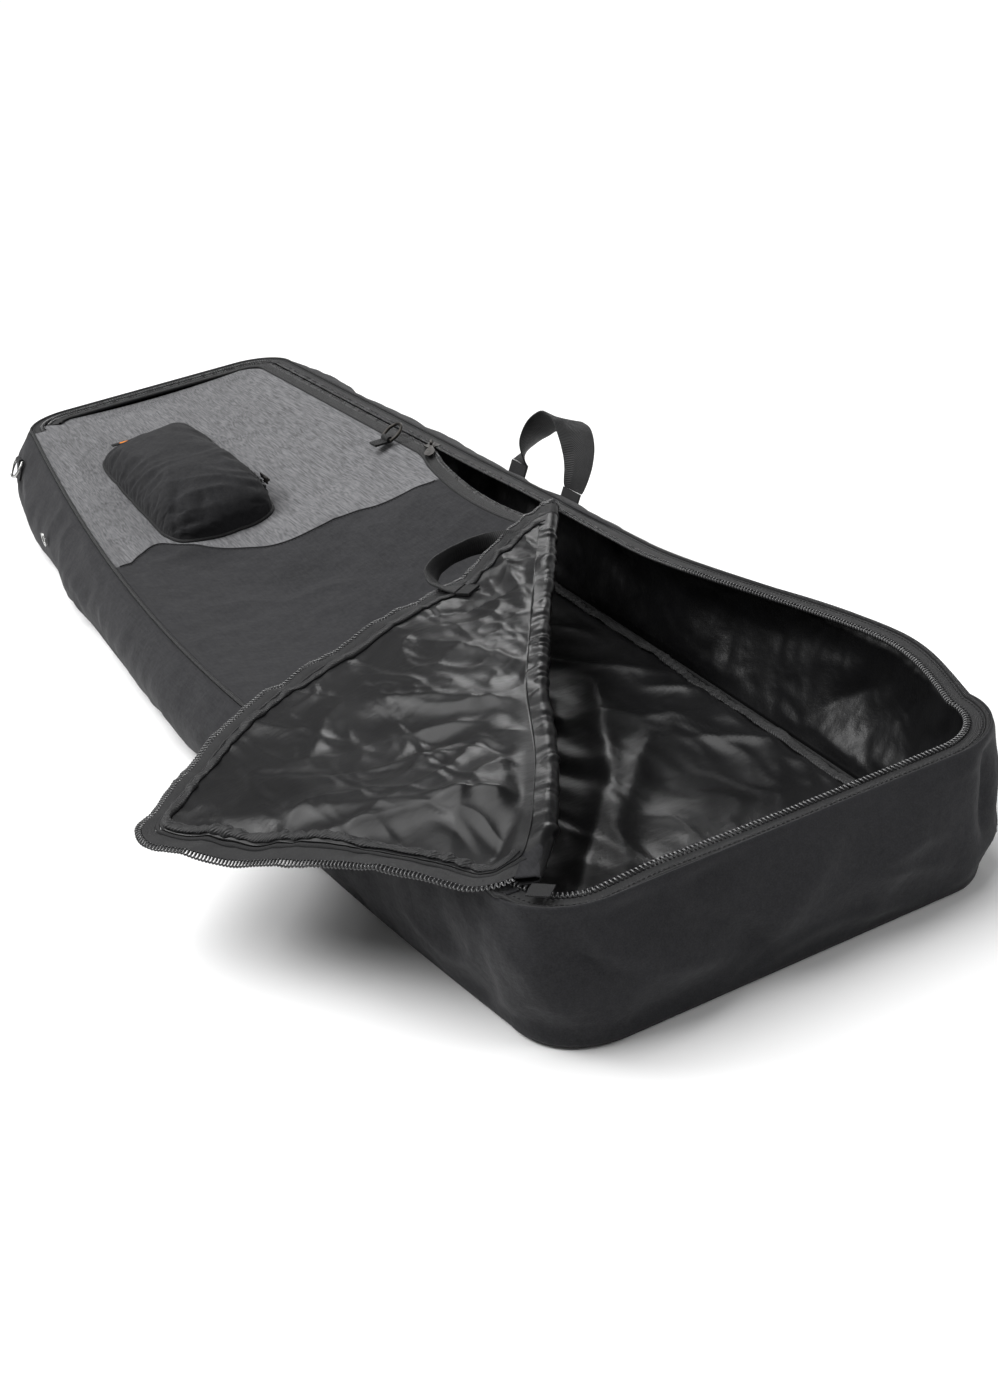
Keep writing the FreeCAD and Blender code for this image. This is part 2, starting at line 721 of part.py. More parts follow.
# ---------------------------------------------------------------- write every node
nodes = {
    "base_panel": make_base_panel(),
    "base_lining": make_base_lining(),
    "base_piping": make_base_piping(),
    "inner_seam_binding": make_inner_seam_binding(),
    "left_wall": make_wall(left_run),
    "right_wall": make_wall(right_run),
    "near_end_wall": make_wall(near_run),
    "far_end_wall": make_wall(far_run),
    "left_wall_lining": make_wall_lining(left_run),
    "right_wall_lining": make_wall_lining(right_run),
    "near_end_lining": make_wall_lining(near_run),
    "far_end_lining": make_wall_lining(far_run),
    "hinge_piping": make_hinge_piping(),
    "rim_piping": make_rim_piping(),
    "rim_zip_tape": tape(rim_run, tape_outside),
    "rim_zip_coil": coil(rim_run, coil_outside),
    "lid_piping": make_lid_piping(),
    "lid_zip_tape": tape(shut_run, lid_tape_outside),
    "lid_zip_coil": coil(shut_run, lid_coil_outside),
    "lid_grey_panel": lid_outer.cut(charcoal_plan()),
    "lid_charcoal_panel": lid_outer.common(charcoal_plan()),
    "lid_lining": make_lid_lining(),
    "pocket_panel": make_pocket_panel(),
    "pocket_zip_tape": make_pocket_zip_tape(),
    "pocket_zip_coil": make_pocket_zip_coil(),
    "pocket_label_tab": make_pocket_label_tab(),
    "pocket_slider": make_pocket_slider(),
    "pocket_pull": make_pocket_pull(),
    "side_ring_tab": make_side_ring_tab(),
    "corner_ring_strap": make_corner_ring_strap(),
    "side_d_ring": d_ring(side_bar, side_along, side_reach),
    "corner_d_ring": d_ring(corner_bar, corner_along, corner_reach),
    "zip_slider": make_zip_slider(),
    "zip_pull": make_zip_pull(),
    "zip_end_stop": make_zip_end_stop(),
    "vent_eyelet": make_vent_eyelet(),
    "handle_patches": Part.makeCompound([on_right_wall(foot)
                                         for foot in webbing_feet(carry_span, webbing_width)]),
    "carry_handle": on_right_wall(webbing_loop(carry_span, carry_reach, webbing_width)),
    "flap_panel": folded_back(flap_slab(lid_low, lid_high, lid_edge)),
    "flap_lining": folded_back(make_flap_lining()),
    "flap_zip_tape": folded_back(tape(flap_run, lid_tape_outside).common(half_plan(-1))),
    "flap_zip_coil": folded_back(coil(flap_run, lid_coil_outside).common(half_plan(-1))),
    "flap_piping": folded_back(make_flap_piping()),
    "flap_seam_binding": folded_back(make_flap_seam_binding()),
    "flap_handle_patches": Part.makeCompound([on_flap(foot) for foot
                                              in webbing_feet(flap_span, flap_webbing_width)]),
    "flap_handle": on_flap(webbing_loop(flap_span, flap_reach, flap_webbing_width), 1.6),
}

os.makedirs("parts", exist_ok=True)
for name, shape in nodes.items():
    shape.exportStep(f"parts/{name}.step")
    box = shape.optimalBoundingBox(False)
    print(f"{name:22s} solids {len(shape.Solids)} valid {shape.isValid()} "
          f"volume {shape.Volume / 1000:9.2f} cm3  x {box.XMin:7.1f} {box.XMax:7.1f} "
          f"y {box.YMin:7.1f} {box.YMax:7.1f} z {box.ZMin:6.1f} {box.ZMax:6.1f}")

print("fold axis through", [round(c / 1000, 5) for c in fold_right],
      "along", [round(-c, 6) for c in fold_line])
print("slider way", [round(c, 6) for c in side_along])
print("pull pin", [round(c / 1000, 5) for c in pull_pin])
print("pocket pull pin", [round(c / 1000, 5) for c in pocket_pull_pin])
print("side ring bar", [round(c / 1000, 5) for c in side_bar])
print("corner ring bar", [round(c / 1000, 5) for c in corner_bar])
print("carry handle feet", [round(c / 1000, 5) for c in carry_foot])
foot_now = folded_back(Part.Vertex(flap_foot)).Point
ahead = folded_back(Part.Vertex(flap_foot + Vector(100 * math.cos(math.radians(rim_tilt)), 0,
                                                   -100 * math.sin(math.radians(rim_tilt))))).Point
print("flap handle feet", [round(c / 1000, 5) for c in foot_now],
      "along", [round(c, 6) for c in (ahead - foot_now).normalize()])
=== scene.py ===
import json
import math

import bpy
import numpy as np
from mathutils import Matrix, Vector


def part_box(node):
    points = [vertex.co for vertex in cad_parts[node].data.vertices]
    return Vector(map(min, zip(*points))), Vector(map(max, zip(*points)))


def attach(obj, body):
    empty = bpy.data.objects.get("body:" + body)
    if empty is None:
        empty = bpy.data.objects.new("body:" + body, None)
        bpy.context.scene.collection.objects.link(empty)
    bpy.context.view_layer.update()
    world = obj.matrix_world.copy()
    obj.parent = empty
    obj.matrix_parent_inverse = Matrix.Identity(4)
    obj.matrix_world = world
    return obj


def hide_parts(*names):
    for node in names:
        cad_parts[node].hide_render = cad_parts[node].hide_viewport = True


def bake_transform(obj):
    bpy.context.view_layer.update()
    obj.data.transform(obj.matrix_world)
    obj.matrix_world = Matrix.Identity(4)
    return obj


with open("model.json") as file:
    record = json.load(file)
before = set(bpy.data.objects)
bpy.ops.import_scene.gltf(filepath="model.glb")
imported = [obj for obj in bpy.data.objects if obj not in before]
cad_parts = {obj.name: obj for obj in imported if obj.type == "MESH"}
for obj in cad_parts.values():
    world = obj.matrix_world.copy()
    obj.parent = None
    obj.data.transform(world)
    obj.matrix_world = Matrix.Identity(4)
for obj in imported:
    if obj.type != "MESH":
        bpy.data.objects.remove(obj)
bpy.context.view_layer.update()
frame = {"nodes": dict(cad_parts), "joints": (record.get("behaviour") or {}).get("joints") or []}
joints = {joint["name"]: joint for joint in frame["joints"]}
print("stage: frame loaded")

# the bag lies on its back: +X is the far end, +Y the hinge side of the lid, +Z up; all in metres
bag = {
    "length": 1.630,        # floor seam to floor seam
    "corner": 0.064,        # plan radius of the rim's corners
    "nearHeight": 0.130,    # rim above the floor at the open near end
    "farHeight": 0.100,
    "leftDip": 0.037,       # the empty bag sags along its hinge side
    "flare": 0.050,         # right rim opens out beside the mouth
    "flareX": -0.620,
    "flareReach": 0.350,    # towards the far end
    "flareNearReach": 0.225,
    "foldRise": 0.008,      # radius of the rolled fold
    "foldTurn": math.radians(184),
    "lidSag": 0.038,
}
nearX, farX = -bag["length"] / 2, bag["length"] / 2
nearCornerX, farCornerX = nearX + bag["corner"], farX - bag["corner"]
rimSlope = (bag["nearHeight"] - bag["farHeight"]) / bag["length"]

# distances inward from the rim of each strip along the zip
inset = {
    "rimPiping": 0.0015,
    "rimTape": (0.0038, 0.0150),
    "rimCoil": 0.01785,
    "lidCoil": 0.02595,
    "lidTape": (0.0288, 0.0400),
    "lidPiping": 0.0422,
    "lidEdge": 0.0444,
}


# the edge of the bag, as stations with the columns x y nx ny lean height belly shoulder
def along(near, middle, far, x):
    u = 2 * x / bag["length"]   # a parabola through three values: near end, mid length, far end
    return middle + (far - near) / 2 * u + ((far + near) / 2 - middle) * u * u


def rimHeight(x):
    return bag["nearHeight"] - rimSlope * (x - nearX)


def rightRim(x):
    reach = np.where(x > bag["flareX"], bag["flareReach"], bag["flareNearReach"])
    u = np.clip((x - bag["flareX"]) / reach, -1, 1)
    # a straight rim plus a squared cosine
    return 0.208 + bag["flare"] * np.cos(u * math.pi / 2) ** 2


def leftRim(x):
    return along(0.200, 0.229, 0.173, x)


def leftHeight(x):
    u = 2 * x / bag["length"]
    return rimHeight(x) - bag["leftDip"] * (1 - u * u) ** 2


def leftBase(x):
    return along(0.195, 0.255, 0.205, x)


def rightBase(x):
    return along(0.197, 0.211, 0.208, x)


def leftStations(x):
    base = leftBase(x)
    return np.stack([x, base, 0 * x, 0 * x + 1, leftRim(x) - base, leftHeight(x),
                     along(0.006, 0.022, 0.014, x), along(0.005, 0.016, 0.012, x)], 1)


def rightStations(x):
    base = rightBase(x)
    return np.stack([x, -base, 0 * x, 0 * x - 1, rightRim(x) - base, rimHeight(x),
                     along(0.008, 0.026, 0.024, x), along(0.005, 0.030, 0.028, x)], 1)


def cornerStations(first, last, centreX, centreY, count):
    share = np.linspace(0, 1, count + 2)[1:-1, None]
    turnFrom = math.atan2(first[3], first[2])
    turn = (math.atan2(last[3], last[2]) - turnFrom + math.pi) % (2 * math.pi) - math.pi
    angle = turnFrom + turn * share
    radiusFrom = math.hypot(first[0] - centreX, first[1] - centreY)
    radiusTo = math.hypot(last[0] - centreX, last[1] - centreY)
    radius = radiusFrom + (radiusTo - radiusFrom) * share
    rest = first[4:] + (last[4:] - first[4:]) * share
    return np.hstack([centreX + radius * np.cos(angle), centreY + radius * np.sin(angle),
                      np.cos(angle), np.sin(angle), rest])


def endRun(x, cornerX, straight=60, corner=22):
    leftCentre = float(leftRim(cornerX)) - bag["corner"]
    rightCentre = bag["corner"] - float(rightRim(cornerX))
    first, last = leftStations(np.array([cornerX])), rightStations(np.array([cornerX]))
    y = np.linspace(leftCentre, rightCentre, straight)
    outward = -1 if x < 0 else 1
    middle = np.stack([0 * y + x, y, 0 * y + outward, 0 * y, 0 * y + 0.006,
                       0 * y + rimHeight(x), 0 * y + 0.008, 0 * y + 0.007], 1)
    return np.vstack([first, cornerStations(first[0], middle[0], cornerX, leftCentre, corner),
                      middle,
                      cornerStations(middle[-1], last[0], cornerX, rightCentre, corner), last])


nearRun, farRun = endRun(nearX, nearCornerX), endRun(farX, farCornerX)
rightRun = rightStations(np.linspace(nearCornerX, farCornerX, 330))
leftRun = leftStations(np.linspace(nearCornerX, farCornerX, 330))
# once round the bag from the far left corner: left side, near end, right side, far end
roundRun = np.vstack([leftRun[::-1], nearRun[1:], rightRun[1:], farRun[::-1][1:-1]])


def rimPoints(run, inward, up=0.0):
    reach = run[:, 4] - inward
    drop = rimSlope * run[:, 2] * reach
    return np.stack([run[:, 0] + run[:, 2] * reach, run[:, 1] + run[:, 3] * reach,
                     run[:, 5] - drop + up], 1)


# the fold of the lid, a hinge line across the near end
foldClear = 0.008            # the cloth is flat beyond this distance from the fold
foldStart = np.array(joints["flap_fold"]["pos_m"])
foldWay = -np.array(joints["flap_fold"]["axis"])
foldAcross = np.array([foldWay[1], -foldWay[0], 0])
foldAcross /= np.linalg.norm(foldAcross)          # points to the part of the lid that stays shut
foldUp = np.cross(foldWay, foldAcross)
foldUp *= np.sign(foldUp[2])
foldLength = 0.823


def foldCoordinates(points):
    offset = points - foldStart
    return offset @ foldWay, offset @ foldAcross, offset @ foldUp + bag["foldRise"]


def fromFold(lengthwise, across, up):
    return (foldStart + lengthwise[..., None] * foldWay + across[..., None] * foldAcross
            + (up - bag["foldRise"])[..., None] * foldUp)


def bulge(lengthwise):
    t = np.clip(lengthwise / foldLength, 0, 1)   # the roll bows towards the mouth near its far end
    rise = np.clip((t - 0.58) / 0.22, 0, 1)
    fall = np.clip((1.0 - t) / 0.12, 0, 1)
    return 0.013 * rise * rise * (3 - 2 * rise) * fall * fall * (3 - 2 * fall)


def wrapped(points):
    # shut lid to folded lid: untouched beyond the fold, rolled at it, turned over past it
    lengthwise, across, up = foldCoordinates(points)
    roll, clear = bag["foldRise"], foldClear
    arc = roll * bag["foldTurn"]
    whole = 2 * clear + arc
    travel = np.clip((clear - across) / (2 * clear), 0, 1) * whole
    angle = np.clip((travel - clear) / roll, 0, bag["foldTurn"])
    flat = np.where(travel < clear, clear - travel, np.where(travel > clear + arc,
                    travel - clear - arc, 0))
    flat = np.where(across > clear, across, np.where(across < -clear, -across, flat))
    radius = roll - up
    # polar about the axis: angle 0 is straight down to the lid, half a turn is straight up
    side = np.where(angle > bag["foldTurn"] / 2, 1.0, 0.0)
    tipped = angle * side
    newAcross = -radius * np.sin(angle) + flat * np.where(side > 0, -np.cos(tipped), 1)
    newUp = roll - radius * np.cos(angle) + flat * np.where(side > 0, -np.sin(-tipped), 0)
    reach = np.abs(flat)
    hold = np.exp(-np.maximum(reach - 0.01, 0) / 0.05)
    newAcross = newAcross - bulge(lengthwise) * hold
    return fromFold(lengthwise, newAcross, newUp)


# relief of the cloth
def smooth(value, low, high):
    t = np.clip((value - low) / (high - low), 0, 1)
    return t * t * (3 - 2 * t)


def tucked(points):
    # the near end of the fold is pressed down: its height above the lid shrinks towards the rim
    lengthwise, across, up = foldCoordinates(points)
    press = smooth(lengthwise, foldLength - 0.105, foldLength - 0.012)
    press = press * (1 - smooth(across, 0.015, 0.105))
    moved = points.copy()
    moved[..., 2] -= 0.66 * press * np.clip(up, 0, 0.03)
    return moved


def rumple(points, size, seed, stretch=(1, 1, 1), count=11):
    # a sum of sine waves with seeded ways, sizes and phases, from about -1 to 1
    source = np.random.default_rng(seed)
    ways = source.normal(size=(count, 3))
    ways /= np.linalg.norm(ways, axis=1)[:, None]
    rates = 2 * math.pi / size * source.uniform(0.55, 1.7, count)
    phases = source.uniform(0, 2 * math.pi, count)
    return np.sin((points / np.array(stretch)) @ (ways * rates[:, None]).T + phases).sum(-1) / (
        0.7 * math.sqrt(count) * 1.6)


def crinkle(points, size, seed, stretch=(1, 1, 1)):
    # sharp creases between soft cushions: a constant less the size of a warped wave
    warp = np.stack([rumple(points, size * 1.7, seed + k, stretch) for k in (1, 2, 3)], -1)
    return 0.55 - np.abs(rumple(points + warp * size * 0.35, size, seed, stretch, 5))


def creases(points, folds):
    # folds along straight segments: each has two ends, a width and a height, peaked like a tent
    total = np.zeros(points.shape[:-1])
    for start, end, width, height in folds:
        a, b = np.array(start), np.array(end)
        way = b - a
        t = np.clip(((points - a) @ way) / (way @ way), 0, 1)
        gap = np.linalg.norm(points - (a + t[..., None] * way), axis=-1)
        taper = 1 - 0.55 * np.abs(2 * t - 1) ** 2
        total += height * taper * np.exp(-(np.sqrt(gap ** 2 + (0.16 * width) ** 2) - 0.16 * width)
                                         / (0.55 * width))
    return total


# meshes
def link(mesh, name):
    made = bpy.data.objects.new(name, mesh)
    bpy.context.scene.collection.objects.link(made)
    return made


def fillMesh(name, points, faces, uv=None):
    mesh = bpy.data.meshes.new(name)
    mesh.vertices.add(len(points))
    mesh.vertices.foreach_set("co", points.astype(np.float32).ravel())
    sides = faces.shape[1]
    mesh.loops.add(faces.size)
    mesh.loops.foreach_set("vertex_index", faces.astype(np.int32).ravel())
    mesh.polygons.add(len(faces))
    mesh.polygons.foreach_set("loop_start", np.arange(0, faces.size, sides, dtype=np.int32))
    mesh.update(calc_edges=True)
    mesh.polygons.foreach_set("use_smooth", np.ones(len(faces), bool))
    if uv is not None:
        layer = mesh.uv_layers.new(name="along")
        layer.data.foreach_set("uv", uv[faces.ravel()].astype(np.float32).ravel())
    mesh.validate()
    return mesh


def gridFaces(rows, columns, closedRows=False, closedColumns=False):
    r = np.arange(rows if closedRows else rows - 1)[:, None]
    c = np.arange(columns if closedColumns else columns - 1)[None, :]
    r2, c2 = (r + 1) % rows, (c + 1) % columns
    corners = [r * columns + c, r * columns + c2, r2 * columns + c2, r2 * columns + c]
    return np.stack([np.broadcast_to(k, (r.size, c.size)) for k in corners], -1).reshape(-1, 4)


def gridUv(points):
    # lengths in metres along the rows and the columns of a grid
    stepU = np.linalg.norm(np.diff(points, axis=1), axis=-1)
    stepV = np.linalg.norm(np.diff(points, axis=0), axis=-1)
    u = np.concatenate([np.zeros((points.shape[0], 1)), stepU.cumsum(1)], 1)
    v = np.concatenate([np.zeros((1, points.shape[1])), stepV.cumsum(0)], 0)
    return np.stack([u, v], -1).reshape(-1, 2)


def gridObject(name, points, material, flip=False, closedRows=False, closedColumns=False,
               thickness=0.0, offset=-1.0):
    faces = gridFaces(*points.shape[:2], closedRows, closedColumns)
    if flip:
        faces = faces[:, ::-1]
    made = link(fillMesh(name, points.reshape(-1, 3), faces, gridUv(points)), name)
    made.data.materials.append(material)
    if thickness:
        shell = made.modifiers.new("cloth", "SOLIDIFY")
        shell.thickness, shell.offset = thickness, offset
    return made


def sideways(path, up=(0, 0, 1)):
    way = np.gradient(path, axis=0)
    way /= np.linalg.norm(way, axis=1)[:, None] + 1e-12
    side = np.cross(np.broadcast_to(np.array(up, float), path.shape), way)
    side /= np.linalg.norm(side, axis=1)[:, None] + 1e-12
    return way, side, np.cross(way, side)


def tubeObject(name, path, radius, material, sides=10, closed=False, up=(0, 0, 1), change=None):
    way, side, rise = sideways(path, up)
    angle = np.linspace(0, 2 * math.pi, sides, endpoint=False)
    ring = (np.cos(angle)[:, None, None] * side + np.sin(angle)[:, None, None] * rise) * radius
    points = path + ring
    if change is not None:
        points = change(points)
    faces = gridFaces(sides, len(path), True, closed)
    made = link(fillMesh(name, points.reshape(-1, 3), faces, gridUv(points)), name)
    made.data.materials.append(material)
    return made


def ribbonObject(name, low, high, thickness, material, up=None, closed=False, change=None):
    # a flat strip between two paths, a little thicker inside its edges
    if up is None:
        up = np.array([0, 0, 1.0])
    half = np.broadcast_to(up, low.shape) * thickness / 2
    inLow, inHigh = low * 0.97 + high * 0.03, high * 0.97 + low * 0.03
    rows = [low - half, inLow - half * 1.25, inHigh - half * 1.25, high - half,
            high + half, inHigh + half * 1.25, inLow + half * 1.25, low + half]
    points = np.stack(rows, 0)
    if change is not None:
        points = change(points)
    faces = gridFaces(8, len(low), True, closed)
    made = link(fillMesh(name, points.reshape(-1, 3), faces, gridUv(points)), name)
    made.data.materials.append(material)
    return made


def resampled(path, step):
    # the same line with even spacing
    gaps = np.linalg.norm(np.diff(path, axis=0), axis=1)
    reach = np.concatenate([[0], gaps.cumsum()])
    even = np.linspace(0, reach[-1], max(4, int(round(reach[-1] / step)) + 1))
    return np.stack([np.interp(even, reach, path[:, k]) for k in range(3)], 1)


coil = {"width": 0.0066, "height": 0.0044, "pitch": 0.0036, "wire": 0.00082}


def coilObject(name, path, material, change=None, pitch=coil["pitch"], width=coil["width"],
               height=coil["height"], wire=coil["wire"], up=(0, 0, 1)):
    # a flattened helix along the path, eleven points to a turn, with a five-sided wire
    line = resampled(path, pitch / 11)
    way, side, rise = sideways(line, up)
    turn = np.arange(len(line))[:, None] * 2 * math.pi / 11
    # powers under one press the round turn towards a rounded box
    across, over = (np.sign(v) * np.abs(v) ** 0.75 for v in (np.cos(turn), np.sin(turn)))
    helix = line + side * across * (width / 2 - wire) + rise * over * (height / 2 - wire)
    return tubeObject(name, helix, wire, material, 5, up=up, change=change)


def stitchObject(name, path, normal, material, pitch=0.0042, length=0.0027, width=0.0007,
                 change=None):
    # small rounded thread bars along a line, one to each pitch
    line = resampled(path, pitch)
    way, side, rise = sideways(line, normal)
    profile = np.array([(-1, -1, 0), (-1, 1, 0), (1, 1, 0), (1, -1, 0),
                        (-0.6, -0.5, 1), (-0.6, 0.5, 1), (0.6, 0.5, 1), (0.6, -0.5, 1)])
    spots = (line[:, None] + profile[:, 0][None, :, None] * way[:, None] * length / 2
             + profile[:, 1][None, :, None] * side[:, None] * width / 2
             + profile[:, 2][None, :, None] * rise[:, None] * width * 0.7)
    if change is not None:
        spots = change(spots)
    box = np.array([(0, 1, 2, 3), (7, 6, 5, 4), (0, 4, 5, 1), (1, 5, 6, 2), (2, 6, 7, 3),
                    (3, 7, 4, 0)])
    faces = (box[None] + 8 * np.arange(len(line))[:, None, None]).reshape(-1, 4)
    made = link(fillMesh(name, spots.reshape(-1, 3), faces), name)
    made.data.materials.append(material)
    return made


def place(piece, body, slot, *nodes):
    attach(piece, body)
    if nodes:
        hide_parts(*nodes)
    return piece


# materials, all from nodes; Object coordinates are metres
def nodeGroup(name, inputs, outputs):
    group = bpy.data.node_groups.new(name, "ShaderNodeTree")
    for label, kind, value in inputs:
        socket = group.interface.new_socket(name=label, in_out="INPUT", socket_type=kind)
        if value is not None:
            socket.default_value = value
    for label, kind in outputs:
        group.interface.new_socket(name=label, in_out="OUTPUT", socket_type=kind)
    return group, group.nodes.new("NodeGroupInput"), group.nodes.new("NodeGroupOutput")


def addNode(tree, kind, links=(), **values):
    made = tree.nodes.new(kind)
    for key, value in values.items():
        if key.startswith("in_"):
            made.inputs[int(key[3:])].default_value = value
        else:
            setattr(made, key, value)
    for index, source in links:
        tree.links.new(source, made.inputs[index])
    return made


def noiseNode(tree, vector, scale, detail=3.0, rough=0.55):
    made = addNode(tree, "ShaderNodeTexNoise", [("Vector", vector)])
    made.inputs["Scale"].default_value = scale
    made.inputs["Detail"].default_value = detail
    made.inputs["Roughness"].default_value = rough
    return made.outputs["Fac"]


def mathNode(tree, operation, first, second, third=None):
    made = tree.nodes.new("ShaderNodeMath")
    made.operation = operation
    for index, value in enumerate((first, second, third)):
        if value is None:
            continue
        if isinstance(value, (int, float)):
            made.inputs[index].default_value = value
        else:
            tree.links.new(value, made.inputs[index])
    return made.outputs[0]


def rangeNode(tree, value, low, high, newLow, newHigh):
    made = addNode(tree, "ShaderNodeMapRange", [(0, value)])
    for index, number in zip((1, 2, 3, 4), (low, high, newLow, newHigh)):
        made.inputs[index].default_value = number
    return made.outputs[0]


def mixColour(tree, factor, first, second):
    made = tree.nodes.new("ShaderNodeMix")
    made.data_type = "RGBA"
    for index, value in ((0, factor), (6, first), (7, second)):
        if isinstance(value, (int, float, tuple)):
            made.inputs[index].default_value = value
        else:
            tree.links.new(value, made.inputs[index])
    return made.outputs[2]


def buildClothGroup():
    # woven cloth: threads both ways, slubs along one way, fading and lint over larger patches
    group, source, sink = nodeGroup("wovenCloth", [
        ("Vector", "NodeSocketVector", None), ("Thread", "NodeSocketFloat", 420.0),
        ("Dark", "NodeSocketColor", (0.01, 0.01, 0.01, 1)),
        ("Light", "NodeSocketColor", (0.03, 0.03, 0.03, 1)),
        ("Slub", "NodeSocketFloat", 0.5), ("Fade", "NodeSocketFloat", 0.25)],
        [("Color", "NodeSocketColor"), ("Height", "NodeSocketFloat"),
         ("Wear", "NodeSocketFloat")])
    vector = source.outputs["Vector"]
    streak = addNode(group, "ShaderNodeVectorMath", [(0, vector)], operation="MULTIPLY",
                     in_1=(34.0, 760.0, 760.0))
    fleck = noiseNode(group, streak.outputs[0], 1.0, 4.0, 0.7)
    grain = noiseNode(group, vector, 900.0, 2.0, 0.6)
    patch = noiseNode(group, vector, 7.0, 5.0, 0.62)
    lint = noiseNode(group, vector, 160.0, 2.0, 0.5)
    mixed = mathNode(group, "MULTIPLY_ADD", rangeNode(group, fleck, 0.38, 0.62, -0.5, 0.5),
                     source.outputs["Slub"], 0.5)
    mixed = mathNode(group, "ADD", mixed, rangeNode(group, grain, 0.3, 0.7, -0.14, 0.14))
    faded = mathNode(group, "MULTIPLY_ADD", rangeNode(group, patch, 0.3, 0.7, -1.0, 1.0),
                     source.outputs["Fade"], mixed)
    clipped = mathNode(group, "MINIMUM", mathNode(group, "MAXIMUM", faded, 0.0), 1.0)
    colour = mixColour(group, clipped,
                       source.outputs["Dark"], source.outputs["Light"])
    scaled = addNode(group, "ShaderNodeVectorMath", [(0, vector)], operation="SCALE")
    group.links.new(source.outputs["Thread"], scaled.inputs["Scale"])
    warp = addNode(group, "ShaderNodeTexWave", [("Vector", scaled.outputs[0])],
                   bands_direction="X")
    weft = addNode(group, "ShaderNodeTexWave", [("Vector", scaled.outputs[0])],
                   bands_direction="DIAGONAL")
    for wave in (warp, weft):
        wave.inputs["Scale"].default_value = 1.0
        wave.inputs["Distortion"].default_value = 3.0
    threads = mathNode(group, "MULTIPLY", warp.outputs["Fac"], weft.outputs["Fac"])
    height = mathNode(group, "MULTIPLY_ADD", threads, 0.16, mathNode(group, "MULTIPLY", grain, 0.5))
    group.links.new(colour, sink.inputs["Color"])
    group.links.new(height, sink.inputs["Height"])
    group.links.new(rangeNode(group, lint, 0.35, 0.7, 0.0, 1.0), sink.inputs["Wear"])
    return group


clothGroup = buildClothGroup()


def freshMaterial(name, roughness, metallic=0.0, specular=0.5, sheen=0.0):
    material = bpy.data.materials.new(name)
    material.use_nodes = True
    tree = material.node_tree
    shader = tree.nodes["Principled BSDF"]
    shader.inputs["Roughness"].default_value = roughness
    shader.inputs["Metallic"].default_value = metallic
    shader.inputs["Specular IOR Level"].default_value = specular
    shader.inputs["Sheen Weight"].default_value = sheen
    shader.inputs["Sheen Roughness"].default_value = 0.5
    where = addNode(tree, "ShaderNodeTexCoord")
    return material, tree, shader, where.outputs["Object"]


def bumpNode(tree, height, strength, distance, before=None):
    made = addNode(tree, "ShaderNodeBump", [("Height", height)])
    made.inputs["Strength"].default_value = strength
    made.inputs["Distance"].default_value = distance
    if before is not None:
        tree.links.new(before, made.inputs["Normal"])
    return made.outputs["Normal"]


def clothMaterial(name, dark, light, slub, fade, roughness=0.88, sheen=0.06, thread=420.0,
                  rumpled=0.35):
    material, tree, shader, vector = freshMaterial(name, roughness, specular=0.16, sheen=sheen)
    cloth = addNode(tree, "ShaderNodeGroup", node_tree=clothGroup)
    tree.links.new(vector, cloth.inputs["Vector"])
    cloth.inputs["Thread"].default_value = thread
    cloth.inputs["Dark"].default_value = (*dark, 1)
    cloth.inputs["Light"].default_value = (*light, 1)
    cloth.inputs["Slub"].default_value = slub
    cloth.inputs["Fade"].default_value = fade
    tree.links.new(cloth.outputs["Color"], shader.inputs["Base Color"])
    tree.links.new(rangeNode(tree, cloth.outputs["Wear"], 0, 1, roughness - 0.08, roughness + 0.08),
                   shader.inputs["Roughness"])
    soft = bumpNode(tree, noiseNode(tree, vector, 34.0, 4.0, 0.6), rumpled, 0.004)
    tree.links.new(bumpNode(tree, cloth.outputs["Height"], 0.4, 0.0005, soft),
                   shader.inputs["Normal"])
    return material


def liningMaterial(name):
    # coated taffeta: near black, glossy in soft patches, finely crinkled
    material, tree, shader, vector = freshMaterial(name, 0.37, specular=0.27)
    patch = noiseNode(tree, vector, 9.0, 4.0, 0.6)
    tree.links.new(mixColour(tree, patch, (0.0040, 0.0040, 0.0043, 1), (0.0078, 0.0078, 0.0084, 1)),
                   shader.inputs["Base Color"])
    tree.links.new(rangeNode(tree, patch, 0.3, 0.7, 0.31, 0.43), shader.inputs["Roughness"])
    stretched = addNode(tree, "ShaderNodeVectorMath", [(0, vector)], operation="MULTIPLY",
                        in_1=(1.0, 0.55, 1.3))
    crumple = noiseNode(tree, stretched.outputs[0], 26.0, 4.0, 0.5)
    fine = noiseNode(tree, vector, 900.0, 2.0, 0.5)
    broad = bumpNode(tree, crumple, 0.30, 0.006)
    tree.links.new(bumpNode(tree, fine, 0.25, 0.0003, broad), shader.inputs["Normal"])
    return material


